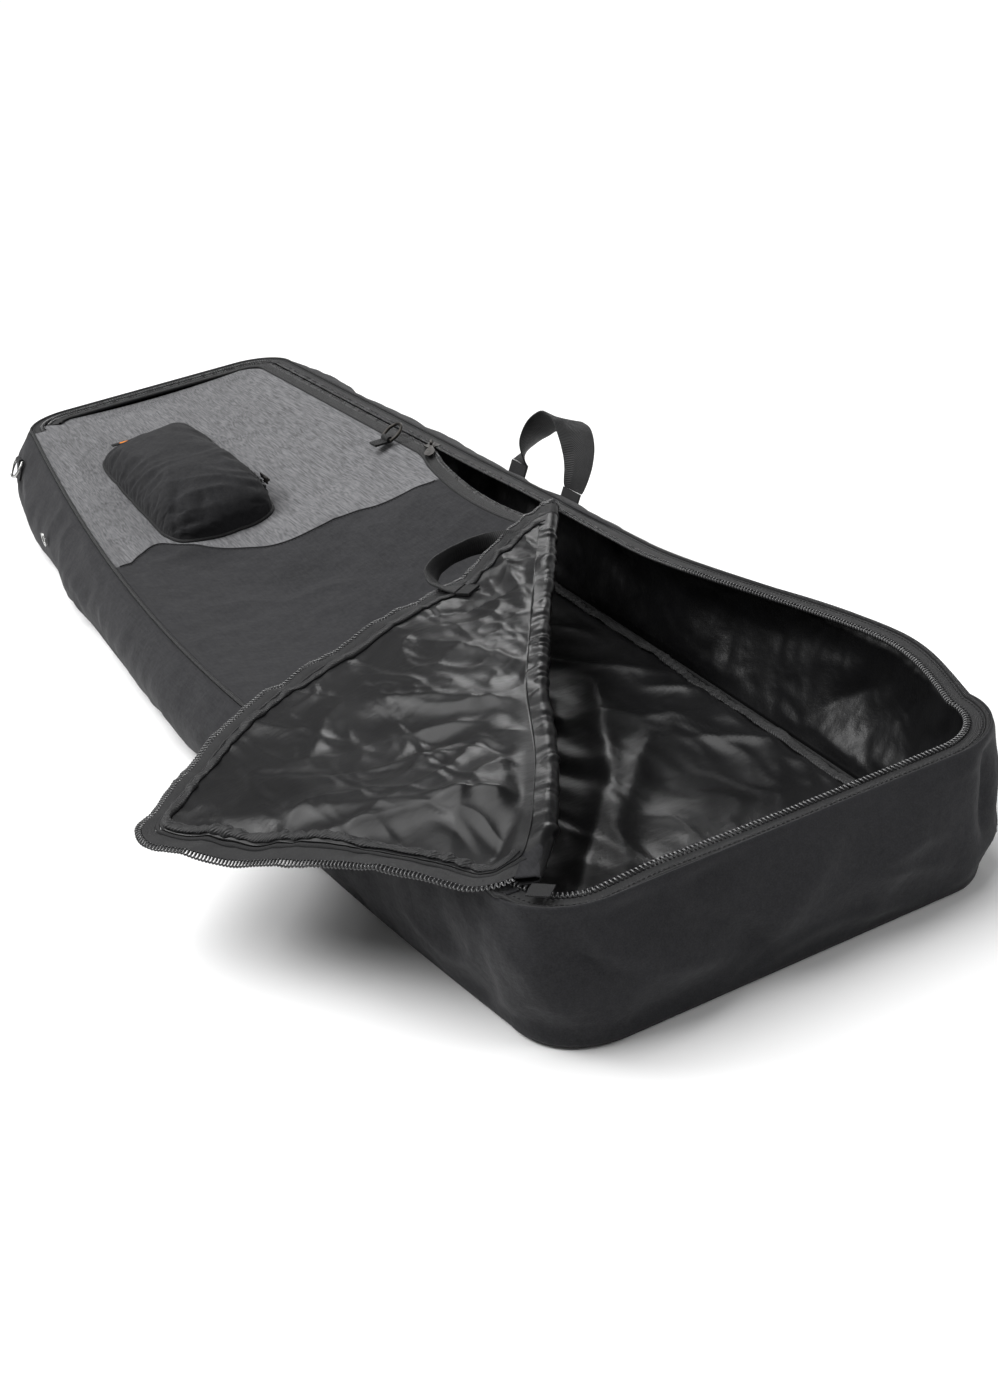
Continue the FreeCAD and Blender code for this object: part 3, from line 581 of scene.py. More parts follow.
def stripMaterial(name, colour, second, roughness, ribs, depth=0.0005, specular=0.28, across=False,
                  solid=False):
    # ribs along the piece's own UV, which is in metres, or along Object X where it is a solid
    material, tree, shader, vector = freshMaterial(name, roughness, specular=specular, sheen=0.04)
    ribWay = vector if solid else addNode(tree, "ShaderNodeUVMap", uv_map="along").outputs[0]
    wave = addNode(tree, "ShaderNodeTexWave", [("Vector", ribWay)],
                   bands_direction="Y" if across else "X")
    wave.inputs["Scale"].default_value = ribs
    wave.inputs["Distortion"].default_value = 0.8
    fuzz = noiseNode(tree, vector, 420.0, 3.0, 0.6)
    worn = noiseNode(tree, vector, 16.0, 4.0, 0.6)
    factor = mathNode(tree, "MULTIPLY", wave.outputs["Fac"],
                      rangeNode(tree, fuzz, 0.3, 0.7, 0.4, 1))
    base = mixColour(tree, factor, (*colour, 1), (*second, 1))
    tree.links.new(mixColour(tree, rangeNode(tree, worn, 0.45, 0.75, 0.0, 0.4), base,
                             (*second, 1)), shader.inputs["Base Color"])
    tree.links.new(rangeNode(tree, fuzz, 0.3, 0.7, roughness - 0.07, roughness + 0.07),
                   shader.inputs["Roughness"])
    ribbed = bumpNode(tree, wave.outputs["Fac"], 0.6, depth)
    tree.links.new(bumpNode(tree, fuzz, 0.3, 0.0003, ribbed), shader.inputs["Normal"])
    return material


def metalMaterial(name, colour, roughness, worn):
    material, tree, shader, vector = freshMaterial(name, roughness, metallic=1.0)
    stain = noiseNode(tree, vector, 120.0, 5.0, 0.65)
    scratch = addNode(tree, "ShaderNodeVectorMath", [(0, vector)], operation="MULTIPLY",
                      in_1=(300.0, 2200.0, 900.0))
    lines = noiseNode(tree, scratch.outputs[0], 1.0, 2.0, 0.6)
    tree.links.new(mixColour(tree, rangeNode(tree, stain, 0.4, 0.7, 0, 1), (*colour, 1),
                             (*worn, 1)), shader.inputs["Base Color"])
    tree.links.new(rangeNode(tree, stain, 0.3, 0.7, roughness - 0.06, roughness + 0.12),
                   shader.inputs["Roughness"])
    tree.links.new(bumpNode(tree, lines, 0.15, 0.0002), shader.inputs["Normal"])
    return material


charcoal = clothMaterial("charcoalCloth", (0.0125, 0.0125, 0.0140), (0.0285, 0.0285, 0.0310), 0.45,
                         0.16)
pocketCloth = clothMaterial("pocketCloth", (0.008, 0.008, 0.009), (0.020, 0.020, 0.0218), 0.4, 0.14,
                            rumpled=0.4)
heather = clothMaterial("heatherCloth", (0.062, 0.062, 0.065), (0.200, 0.200, 0.207), 0.85, 0.06,
                        roughness=0.86, sheen=0.06, thread=360.0, rumpled=0.18)
lining = liningMaterial("taffetaLining")
liningTrim = stripMaterial("gatheredBinding", (0.006, 0.006, 0.0065), (0.018, 0.018, 0.019), 0.5,
                           90.0)
tape = stripMaterial("zipTape", (0.006, 0.006, 0.0065), (0.020, 0.020, 0.021), 0.62, 260.0,
                     0.0003, across=True)
piping = stripMaterial("blackPiping", (0.006, 0.006, 0.0065), (0.017, 0.017, 0.018), 0.6, 320.0,
                       0.0003)
webbing = stripMaterial("ribbedWebbing", (0.006, 0.006, 0.0065), (0.022, 0.022, 0.023), 0.6, 150.0,
                        0.0007)
sewnWebbing = stripMaterial("sewnWebbing", (0.006, 0.006, 0.0065), (0.020, 0.020, 0.021), 0.66,
                            260.0, 0.0006, solid=True)
thread = stripMaterial("sewingThread", (0.020, 0.020, 0.021), (0.05, 0.05, 0.052), 0.7, 400.0,
                       0.0001)
gunmetal = metalMaterial("gunmetal", (0.060, 0.056, 0.052), 0.36, (0.030, 0.027, 0.024))
nickel = metalMaterial("brightNickel", (0.46, 0.46, 0.45), 0.27, (0.28, 0.28, 0.27))


def coilMaterial():
    material, tree, shader, vector = freshMaterial("nylonCoil", 0.24, specular=0.8)
    dull = noiseNode(tree, vector, 60.0, 3.0, 0.6)
    tree.links.new(mixColour(tree, dull, (0.022, 0.022, 0.023, 1), (0.060, 0.060, 0.062, 1)),
                   shader.inputs["Base Color"])
    tree.links.new(rangeNode(tree, dull, 0.3, 0.7, 0.2, 0.34), shader.inputs["Roughness"])
    return material


def labelMaterial():
    # black woven tab with a plain orange bar across it
    material, tree, shader, vector = freshMaterial("labelTab", 0.8, specular=0.2)
    low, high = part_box("pocket_label_tab")
    spread = addNode(tree, "ShaderNodeSeparateXYZ", [(0, vector)])
    middle = (low.y + high.y) / 2
    near = mathNode(tree, "COMPARE", spread.outputs[1], middle - 0.002, 0.008)
    edge = mathNode(tree, "COMPARE", spread.outputs[0], (low.x + high.x) / 2 + 0.0005, 0.0022)
    grain = noiseNode(tree, vector, 1500.0, 2.0, 0.6)
    orange = mixColour(tree, grain, (0.62, 0.16, 0.01, 1), (0.85, 0.28, 0.03, 1))
    tree.links.new(mixColour(tree, mathNode(tree, "MULTIPLY", near, edge), (0.012, 0.012, 0.013, 1),
                             orange), shader.inputs["Base Color"])
    tree.links.new(bumpNode(tree, grain, 0.5, 0.0003), shader.inputs["Normal"])
    return material


nylon = coilMaterial()
label = labelMaterial()
print("stage: materials made")

# camera: a 48.7 mm lens, on the long side of a 36 mm frame, at the near left corner
camera = {"place": (-1.835707, 0.614609, 0.849648), "azimuth": -0.3879, "down": 0.4617698,
          "roll": -0.1663564, "lens": 48.74}
lookWay = Vector((math.cos(camera["down"]) * math.cos(camera["azimuth"]),
                  math.cos(camera["down"]) * math.sin(camera["azimuth"]),
                  -math.sin(camera["down"])))
right = lookWay.cross(Vector((0, 0, 1))).normalized()
upright = right.cross(lookWay)
rolledRight = right * math.cos(camera["roll"]) + upright * math.sin(camera["roll"])
rolledUp = upright * math.cos(camera["roll"]) - right * math.sin(camera["roll"])
lens = bpy.data.cameras.new("camera")
lens.lens = camera["lens"]
lens.sensor_fit = "VERTICAL"
lens.sensor_width = lens.sensor_height = 36
lens.clip_start, lens.clip_end = 0.05, 60
eye = link(lens, "camera")
eye.matrix_world = Matrix(((rolledRight.x, rolledUp.x, -lookWay.x, camera["place"][0]),
                           (rolledRight.y, rolledUp.y, -lookWay.y, camera["place"][1]),
                           (rolledRight.z, rolledUp.z, -lookWay.z, camera["place"][2]),
                           (0, 0, 0, 1)))
bpy.context.scene.camera = eye


def addLight(name, location, target, size, energy):
    lamp = bpy.data.lights.new(name, "AREA")
    lamp.shape = "RECTANGLE"
    lamp.size, lamp.size_y = size
    lamp.energy = energy
    made = link(lamp, name)
    made.location = location
    made.rotation_mode = "QUATERNION"
    made.rotation_quaternion = (Vector(target) - Vector(location)).to_track_quat("-Z", "Y")
    return made


lights = {                   # place, target, size in metres, watts
    "keyLight": ((1.4, 2.2, 2.2), (-0.2, 0, 0.05), (1.0, 1.0), 38),
    "rimLight": ((2.6, -1.8, 1.5), (0.0, 0, 0.1), (1.2, 0.5), 19),
    "nearLight": ((-2.4, -0.9, 1.6), (-0.7, 0, 0.05), (0.7, 0.5), 13),
}
even = {"energy": 3.5, "spread": math.radians(60), "way": (-0.35, -0.30, -1.0), "world": 0.16}
for name, values in lights.items():
    addLight(name, *values)
sun = bpy.data.lights.new("evenLight", "SUN")
sun.energy, sun.angle = even["energy"], even["spread"]
evenLight = link(sun, "evenLight")
evenLight.rotation_mode = "QUATERNION"
evenLight.rotation_quaternion = Vector(even["way"]).to_track_quat("-Z", "Y")
world = bpy.data.worlds.new("studio")
world.use_nodes = True
world.node_tree.nodes["Background"].inputs[0].default_value = (1, 1, 1, 1)
world.node_tree.nodes["Background"].inputs[1].default_value = even["world"]
bpy.context.scene.world = world
bpy.context.scene.view_settings.view_transform = "Standard"

floorMaterial, floorTree, floorShader, floorVector = freshMaterial("paleFloor", 0.9, specular=0.1)
floorTree.links.new(mixColour(floorTree, noiseNode(floorTree, floorVector, 3.0), (0.9, 0.9, 0.9, 1),
                              (0.93, 0.93, 0.93, 1)), floorShader.inputs["Base Color"])
floorSpan = np.array([-40.0, 40.0])
floorPoints = np.stack(np.meshgrid(floorSpan, floorSpan, [0.0], indexing="xy"), -1).reshape(2, 2, 3)
floor = gridObject("floor", floorPoints - [0, 0, 0.0004], floorMaterial)
print("stage: camera, light and floor")

# outer walls: belly and shoulder from a cubic through four heights, plus folds of slack cloth
outerFolds = [
    ((-0.63, 0.27, 0.045), (-0.80, 0.235, 0.080), 0.030, 0.010),
    ((-0.80, 0.235, 0.080), (-0.822, 0.19, 0.045), 0.026, 0.008),
    ((-0.74, 0.26, 0.098), (-0.823, 0.21, 0.108), 0.022, -0.012),
    ((-0.823, 0.21, 0.108), (-0.822, 0.14, 0.066), 0.020, -0.011),
    ((-0.822, 0.09, 0.100), (-0.822, 0.05, 0.070), 0.020, -0.009),
    ((-0.822, 0.05, 0.070), (-0.822, 0.025, 0.034), 0.015, -0.010),
    ((-0.822, 0.115, 0.060), (-0.822, 0.060, 0.040), 0.024, 0.008),
    ((-0.822, -0.040, 0.110), (-0.822, 0.010, 0.050), 0.034, 0.009),
    ((-0.822, -0.120, 0.095), (-0.822, -0.070, 0.030), 0.040, 0.008),
    ((-0.818, -0.195, 0.110), (-0.818, -0.180, 0.050), 0.022, -0.012),
    ((-0.815, -0.215, 0.045), (-0.80, -0.235, 0.015), 0.030, 0.010),
    ((-0.69, 0.26, 0.100), (-0.60, 0.275, 0.060), 0.024, 0.007),
    ((-0.55, 0.27, 0.085), (-0.42, 0.29, 0.045), 0.034, 0.006),
    ((-0.20, 0.285, 0.070), (0.02, 0.29, 0.050), 0.045, 0.005),
    ((0.30, 0.27, 0.060), (0.48, 0.25, 0.030), 0.040, -0.006),
    ((0.56, 0.24, 0.062), (0.66, 0.23, 0.030), 0.030, 0.006),
    ((-0.60, -0.25, 0.09), (-0.45, -0.26, 0.05), 0.035, -0.006),
    ((0.10, -0.24, 0.08), (0.30, -0.25, 0.04), 0.035, 0.006),
    ((0.52, -0.24, 0.09), (0.64, -0.24, 0.04), 0.030, -0.006),
]


def wallPoints(run, rows, inward, low, belowRim, relief):
    # out(p) is the cubic with out(0) = out(1) = 0, the belly at p = .4 and the shoulder at .78
    part = np.linspace(0, 1, rows)[:, None]
    belly = part * (part - 0.78) * (part - 1) / (0.4 * -0.38 * -0.6)
    shoulder = part * (part - 0.4) * (part - 1) / (0.78 * 0.38 * -0.22)
    out = run[:, 6] * belly + run[:, 7] * shoulder
    reach = run[:, 4] * part + out - inward
    z = low + (run[:, 5] - belowRim - low) * part
    points = np.stack([run[:, 0] + run[:, 2] * reach, run[:, 1] + run[:, 3] * reach, z], -1)
    hold = smooth(part, 0, 0.16) * smooth(1 - part, 0, 0.13)
    shift = relief(points) * hold
    points[..., 0] += run[:, 2] * shift
    points[..., 1] += run[:, 3] * shift
    return points


def outerRelief(points):
    broad = rumple(points, 0.34, 3, (1, 1, 0.5)) * 0.0034
    middle = crinkle(points, 0.15, 8, (1.2, 1.2, 0.6)) * 0.0034
    small = rumple(points, 0.045, 15) * 0.0007
    return broad + middle + small + creases(points, outerFolds)


walls = wallPoints(roundRun, 46, 0.0, 0.004, 0.0015, outerRelief)
outerWalls = gridObject("outerWalls", walls, charcoal, flip=True, closedColumns=True,
                        thickness=0.0016, offset=-1)
place(outerWalls, "bag_body", "charcoal_polyester",
      "left_wall", "right_wall", "near_end_wall", "far_end_wall")
print("stage: outer walls", len(outerWalls.data.polygons))

# piping round the floor seam, and the seam bulge of the wall above it
floorSeam = np.stack([roundRun[:, 0] - roundRun[:, 2] * 0.003,
                      roundRun[:, 1] - roundRun[:, 3] * 0.003, 0 * roundRun[:, 0] + 0.00305], 1)
floorPiping = tubeObject("floorPiping", floorSeam, 0.0027, piping, 10, closed=True)
place(floorPiping, "bag_body", "piping", "base_piping")

# vertical panel seams of the walls, each a shallow groove with a row of stitches beside it


def wallSeam(name, run, at, side):
    index = int(np.argmin(np.abs(run[:, 0] - at)))
    line = wallPoints(run[index:index + 1], 40, -0.0007, 0.008, 0.004, outerRelief)[:, 0]
    shifted = line + np.array([0.0035 * side, 0, 0])
    ridge = tubeObject(name + "Ridge", line, 0.0011, charcoal, 6, up=(1, 0, 0))
    place(ridge, "bag_body", "charcoal_polyester")
    dashes = stitchObject(name + "Stitches", shifted, tuple(run[index, 2:4]) + (0,), thread)
    return place(dashes, "bag_body", "charcoal_polyester")


wallSeam("nearLeftSeam", leftRun, -0.650, 1)
wallSeam("farLeftSeam", leftRun, 0.690, -1)
wallSeam("nearRightSeam", rightRun, -0.700, 1)
wallSeam("farRightSeam", rightRun, 0.255, 1)

# lining of the walls: glossy, pleated where it is gathered into the rim seam
innerFolds = [
    ((-0.80, -0.13, 0.115), (-0.80, -0.10, 0.045), 0.018, 0.006),
    ((-0.76, -0.215, 0.115), (-0.78, -0.20, 0.035), 0.016, 0.007),
    ((-0.72, -0.235, 0.115), (-0.70, -0.205, 0.030), 0.020, -0.007),
    ((-0.66, -0.245, 0.120), (-0.63, -0.205, 0.030), 0.018, 0.008),
    ((-0.60, -0.245, 0.110), (-0.52, -0.21, 0.040), 0.022, 0.008),
    ((-0.52, -0.24, 0.105), (-0.42, -0.21, 0.045), 0.018, -0.006),
    ((-0.44, -0.22, 0.100), (-0.30, -0.205, 0.040), 0.020, 0.007),
    ((-0.34, -0.21, 0.105), (-0.22, -0.20, 0.060), 0.016, 0.006),
    ((-0.20, -0.205, 0.105), (-0.06, -0.20, 0.050), 0.020, -0.006),
    ((-0.80, 0.05, 0.110), (-0.80, 0.02, 0.040), 0.020, 0.006),
    ((-0.80, 0.12, 0.100), (-0.80, 0.15, 0.040), 0.020, -0.005),
]


def innerRelief(points):
    high = smooth(points[..., 2], 0.02, 0.12)
    pleats = crinkle(points, 0.075, 31, (0.8, 0.8, 3.0)) * 0.0032 * high
    broad = rumple(points, 0.22, 37) * 0.0040
    fine = crinkle(points, 0.034, 41, (1, 1, 2.6)) * 0.0011
    slackCloth = 0.005 + pleats + broad + fine + np.abs(creases(points, innerFolds))
    return outerRelief(points) - np.maximum(slackCloth, 0.0003)


inner = wallPoints(roundRun, 42, 0.0032, 0.006, 0.0035, innerRelief)
wallLining = gridObject("wallLining", inner, lining, flip=False, closedColumns=True,
                        thickness=0.0005, offset=1)
place(wallLining, "bag_body", "black_lining", "left_wall_lining", "right_wall_lining",
      "near_end_lining", "far_end_lining")

# lining of the floor: soft hollows and long diagonal pulls towards the fold
floorFolds = [
    ((-0.30, -0.12, 0), (-0.62, 0.03, 0), 0.030, 0.008),
    ((-0.66, 0.10, 0), (-0.50, -0.02, 0), 0.026, 0.007),
    ((-0.62, -0.16, 0), (-0.50, -0.06, 0), 0.028, -0.005),
    ((-0.45, -0.17, 0), (-0.36, -0.06, 0), 0.022, 0.006),
    ((-0.74, -0.06, 0), (-0.60, -0.14, 0), 0.030, 0.007),
    ((-0.34, -0.18, 0), (-0.22, -0.10, 0), 0.020, 0.006),
    ((-0.20, -0.17, 0), (-0.12, -0.13, 0), 0.018, 0.005),
    ((-0.72, 0.14, 0), (-0.64, 0.00, 0), 0.024, -0.004),
    ((-0.56, 0.00, 0), (-0.44, -0.10, 0), 0.020, 0.005),
    ((-0.53, -0.19, 0), (-0.47, -0.13, 0), 0.013, 0.005),
    ((-0.40, -0.19, 0), (-0.35, -0.15, 0), 0.012, 0.005),
]


def floorRelief(flat):
    broad = rumple(flat, 0.30, 51) * 0.5 + 0.5
    middle = crinkle(flat, 0.19, 55, (1.3, 0.8, 1)) * 0.0030
    fine = crinkle(flat, 0.060, 59, (1.8, 0.7, 1)) * 0.0014
    near = smooth(-flat[..., 0], 0.0, 0.3) * 0.6 + 0.4
    return broad * 0.0045 + (middle + fine) * near + np.maximum(creases(flat, floorFolds), -0.004)


floorMargin = 0.010          # the floor lining stops this far inside the floor seam
share = np.linspace(-1, 1, 130)[:, None]
gridX = np.linspace(nearX + floorMargin, farX - floorMargin, 370)
cornerCut = np.maximum(0, np.abs(gridX) - farCornerX) / bag["corner"]
roundIn = bag["corner"] * (1 - np.sqrt(np.maximum(0, 1 - np.minimum(cornerCut, 0.985) ** 2)))
leftFloor = leftBase(gridX) - floorMargin - roundIn
rightFloor = floorMargin + roundIn - rightBase(gridX)
floorY = (leftFloor + rightFloor) / 2 + (leftFloor - rightFloor) / 2 * share
floorGrid = np.stack([np.broadcast_to(gridX, floorY.shape), floorY, 0 * floorY], -1)
edgeHold = smooth(1 - np.abs(share), 0, 0.06) * smooth(farX - floorMargin - np.abs(gridX), 0, 0.02)
floorGrid[..., 2] = 0.0046 + np.maximum(floorRelief(floorGrid), -0.0012) * edgeHold
floorLining = gridObject("floorLining", floorGrid, lining, flip=True, thickness=0.0004, offset=1)
place(floorLining, "bag_body", "black_lining", "base_lining")


def gatheredBand(name, run, inward, width, z, material, seed):
    # bound seam, drawn up by its stitching: a flattened cord that swells and pinches
    centre = np.stack([run[:, 0] - run[:, 2] * inward, run[:, 1] - run[:, 3] * inward,
                       0 * run[:, 0] + z], 1)
    line = resampled(centre, 0.0016)
    way, side, rise = sideways(line)
    pinch = 0.5 + 0.5 * rumple(line, 0.011, seed, (1, 1, 1), 6)
    wave = rumple(line, 0.055, seed + 9, count=5)
    line = line + side * (wave * 0.0016)[:, None]
    angle = np.linspace(0, 2 * math.pi, 12, endpoint=False)[:, None, None]
    wide = (width / 2 * (0.72 + 0.35 * pinch))[None, :, None]
    tall = (0.0017 * (0.6 + 0.9 * pinch))[None, :, None]
    twist = (0.5 * rumple(line, 0.03, seed + 3, count=5))[None, :, None]
    points = line + np.cos(angle) * wide * side + (np.sin(angle) * tall
                                                   + np.cos(angle) * twist * 0.0016) * rise
    made = link(fillMesh(name, points.reshape(-1, 3), gridFaces(12, len(line), True),
                         gridUv(points)), name)
    made.data.materials.append(material)
    return made


bandRun = np.vstack([roundRun, roundRun[:1]])
floorBand = gatheredBand("floorBand", bandRun, 0.0125, 0.011, 0.0078, liningTrim, 71)
place(floorBand, "bag_body", "piping", "inner_seam_binding")
print("stage: inside of the bag")

# zip edge that stays on the bag: piping, tape and coil round the near end, right and far end
rimRun = np.vstack([nearRun, rightRun[1:], farRun[::-1][1:]])


def rimShift(points):
    # the rim wanders a little, up and down and in and out, as the empty bag lets it
    x = points[..., 0]
    fade = smooth(0.15 - x, 0, 0.3)
    wander = rumple(points, 0.42, 81, (1, 1, 4), 7)
    inOut = rumple(points, 0.36, 83, (1, 1, 4), 7)
    side = np.where(points[..., 0] < nearCornerX - 0.02, 0, 1)
    moved = points.copy()
    moved[..., 2] += wander * 0.0035 * fade - 0.002 * fade
    moved[..., 1] += inOut * 0.0035 * fade * side
    dip = smooth(points[..., 1], 0.085, 0.165) * smooth(-0.74 - x, 0, 0.05)
    moved[..., 2] -= 0.006 * dip
    return moved


def rimTube(name, run, inward, radius, up=0.0):
    return tubeObject(name, rimPoints(run, inward, up), radius, piping, 10, change=rimShift)


place(rimTube("rimPipe", rimRun, inset["rimPiping"], 0.0021, 0.0004), "bag_body", "piping",
      "rim_piping")
low, high = (rimPoints(rimRun, k) for k in inset["rimTape"])
place(ribbonObject("rimTape", low, high, 0.0011, tape, change=rimShift), "bag_body", "zip_tape",
      "rim_zip_tape")
place(coilObject("rimCoil", rimPoints(rimRun, inset["rimCoil"], 0.0012), nylon, change=rimShift),
      "bag_body", "zip_coil", "rim_zip_coil")
place(stitchObject("rimStitches", rimPoints(rimRun, 0.0062, 0.0009), (0, 0, 1), thread,
                   change=rimShift), "bag_body", "zip_tape")
hinge = rimPoints(np.vstack([leftRun, farRun[1:3]]), inset["rimPiping"], 0.0010)
place(tubeObject("hingePipe", hinge, 0.0021, piping, 10), "bag_body", "piping", "hinge_piping")
print("stage: rim")

# fixed part of the lid, sagging between its sewn edge and the zip
waveY = np.array([-0.260, -0.150, -0.050, 0.040, 0.095, 0.150, 0.215])
waveX = np.array([0.060, 0.108, 0.160, 0.176, 0.222, 0.284, 0.210])


def waveEdge(y):
    # where the charcoal cloth ends, as x for a given y: softly stepped between named points
    smoothY = np.linspace(-0.28, 0.24, 200)
    line = np.interp(smoothY, waveY, waveX)
    kernel = np.hanning(23)
    line = np.convolve(np.pad(line, 11, mode="edge"), kernel / kernel.sum(), mode="valid")
    return np.interp(y, smoothY, line)


foldSlope = foldWay[1] / foldWay[0]


def foldY(x):
    return foldStart[1] + (x - foldStart[0]) * foldSlope


clearY = foldClear / foldAcross[1]
lidFarX = farX + 0.006 - inset["lidEdge"]
lidCorner = bag["corner"] - inset["lidEdge"] + 0.012


def lidRight(x):
    cut = np.clip((x - (lidFarX - lidCorner)) / lidCorner, 0, 0.999)
    rounded = -rightRim(x) + inset["lidEdge"] + lidCorner * (1 - np.sqrt(1 - cut ** 2))
    return np.maximum(rounded, foldY(x) + clearY)


def lidLeft(x):
    cut = np.clip((x - (lidFarX - lidCorner)) / lidCorner, 0, 0.999)
    return leftRim(x) - 0.0035 - (0.008 + lidCorner) * (1 - np.sqrt(1 - cut ** 2))


slack = {"start": -0.10, "end": 0.205, "reach": 0.021, "drop": 0.008}


def slackShare(x):
    # 0 where the zip is shut, up to 1 along the open stretch before the slider
    t = np.clip((slack["end"] - x) / (slack["end"] - slack["start"]), 0, 1)
    return np.sin(np.pi * np.clip(t * 0.72, 0, 1)) * smooth(t, 0, 0.2)


def lidSlack(points):
    # the unzipped edge sags away from the rim, into the lid
    x, y = points[..., 0], points[..., 1]
    near = np.exp(-np.maximum(0, y + rightRim(x) - inset["lidEdge"]) / 0.05)
    share = slackShare(x) * near * (y < 0)
    moved = points.copy()
    moved[..., 1] += slack["reach"] * share
    moved[..., 2] -= slack["drop"] * share
    return moved


lidFolds = [
    ((0.572, -0.027, 0.09), (0.640, -0.120, 0.10), 0.020, 0.006),
    ((0.610, 0.110, 0.09), (0.740, 0.118, 0.09), 0.016, 0.006),
    ((0.600, 0.030, 0.09), (0.700, -0.010, 0.09), 0.022, 0.005),
    ((0.440, -0.025, 0.09), (0.480, -0.140, 0.10), 0.024, 0.004),
    ((0.255, 0.080, 0.07), (0.215, 0.160, 0.07), 0.022, 0.006),
    ((0.280, 0.135, 0.08), (0.330, 0.190, 0.08), 0.018, 0.006),
    ((0.430, 0.140, 0.08), (0.430, 0.190, 0.08), 0.018, 0.005),
    ((0.240, 0.020, 0.07), (0.160, -0.060, 0.08), 0.030, 0.005),
    ((0.110, -0.140, 0.10), (0.020, -0.020, 0.08), 0.034, 0.005),
    ((-0.020, -0.100, 0.10), (-0.120, 0.080, 0.08), 0.036, 0.005),
    ((0.060, 0.190, 0.08), (-0.160, 0.200, 0.08), 0.028, 0.006),
    ((0.330, 0.192, 0.08), (0.150, 0.200, 0.07), 0.020, -0.004),
    ((-0.250, 0.220, 0.09), (-0.480, 0.205, 0.10), 0.026, 0.005),
    ((0.700, 0.150, 0.09), (0.500, 0.170, 0.09), 0.018, 0.005),
    ((0.300, -0.120, 0.09), (0.230, -0.020, 0.08), 0.026, -0.004),
]


def lidHeight(x, y):
    # a straight line from edge to edge less a parabola of sag, then the relief of the cloth
    left, rightY = lidLeft(x), lidRight(x)
    share = np.clip((left - y) / np.maximum(left - rightY, 1e-6), 0, 1)
    sag = bag["lidSag"] * (1 - 0.9 * (x / farX) ** 2) * (left - rightY) / 0.406
    base = leftHeight(x) * (1 - share) + rimHeight(x) * share - 4 * sag * share * (1 - share)
    flat = np.stack([x, y, base], -1)
    edge = smooth(share, 0, 0.06) * smooth(1 - share, 0, 0.10) * smooth(lidFarX - x, 0, 0.03)
    relief = (rumple(flat, 0.22, 91, (1, 1, 1)) * 0.0026 + crinkle(flat, 0.13, 95, (1.6, 0.8, 1))
              * 0.0019 + rumple(flat, 0.045, 99) * 0.0004 + creases(flat, lidFolds) * 0.75)
    return base + relief * edge


def lidGrid(start, end, columns, rows):
    # start and end are functions of y; each row keeps its share of the lid's width
    share = np.linspace(0, 1, rows)[:, None]
    along01 = np.linspace(0, 1, columns)[None, :]
    firstX, lastX = np.zeros((rows, 1)), np.zeros((rows, 1)) + 0.3
    for ends, function in ((firstX, start), (lastX, end)):
        for _ in range(30):
            y = lidLeft(ends) * (1 - share) + lidRight(ends) * share
            ends[:] = 0.5 * ends + 0.5 * function(y)
    x = firstX + (lastX - firstX) * along01
    y = lidLeft(x) * (1 - share) + lidRight(x) * share
    return x, y


def lidPiece(name, start, end, columns, rows, up, material, flip, thickness, offset):
    x, y = lidGrid(start, end, columns, rows)
    points = np.stack([x, y, lidHeight(x, y) + up], -1)
    lengthwise, across, _ = foldCoordinates(points)
    hold = np.exp(-np.maximum(across - 0.01, 0) / 0.05)
    hold = hold * smooth(across, -0.01, 0.01)
    points = points - foldAcross * (bulge(lengthwise) * hold)[..., None]
    return gridObject(name, lidSlack(points), material, flip=flip, thickness=thickness,
                      offset=offset)


def nearStart(y):
    return 0 * y - 0.772


def farEnd(y):
    return 0 * y + lidFarX - 0.0003


charcoalLid = lidPiece("charcoalLid", nearStart, waveEdge, 300, 150, 0.0006, charcoal, True,
                       0.0013, -1)
place(charcoalLid, "bag_body", "charcoal_polyester", "lid_charcoal_panel")
greyLid = lidPiece("greyLid", waveEdge, farEnd, 220, 170, 0.0006, heather, True, 0.0013, -1)
place(greyLid, "bag_body", "heather_polyester", "lid_grey_panel")
lidUnder = lidPiece("lidUnder", nearStart, farEnd, 300, 80, -0.0015, lining, False, 0.0004, -1)
place(lidUnder, "bag_body", "black_lining", "lid_lining")

x, y = lidGrid(waveEdge, farEnd, 2, 260)
seamX, seamY = x[4:-4, 0], y[4:-4, 0]
seamLine = lidSlack(np.stack([seamX, seamY, lidHeight(seamX, seamY) + 0.0009], -1))
place(tubeObject("lidSeam", seamLine, 0.0009, charcoal, 6), "bag_body", "charcoal_polyester")
place(stitchObject("lidSeamStitches", seamLine - [0.0035, 0, -0.0001], (0, 0, 1), thread),
      "bag_body", "charcoal_polyester")
print("stage: lid")

# zip edge of the lid: it starts at the fold and ends at the far left corner
def shutX(inward, clear):
    return foldStart[0] + (clear - inward * foldAcross[1]) / foldAcross[0]


def lidLine(inward, up=0.0):
    start = shutX(inward, foldClear)
    side = rimPoints(rightStations(np.linspace(start, farCornerX, 260)), inward, up)
    return np.vstack([side, rimPoints(farRun[::-1][1:-8], inward, up)])


def matched(*lines):
    # the same number of points on each line, so that a ribbon can join them
    count = min(map(len, lines))
    return [line[np.linspace(0, len(line) - 1, count).astype(int)] for line in lines]


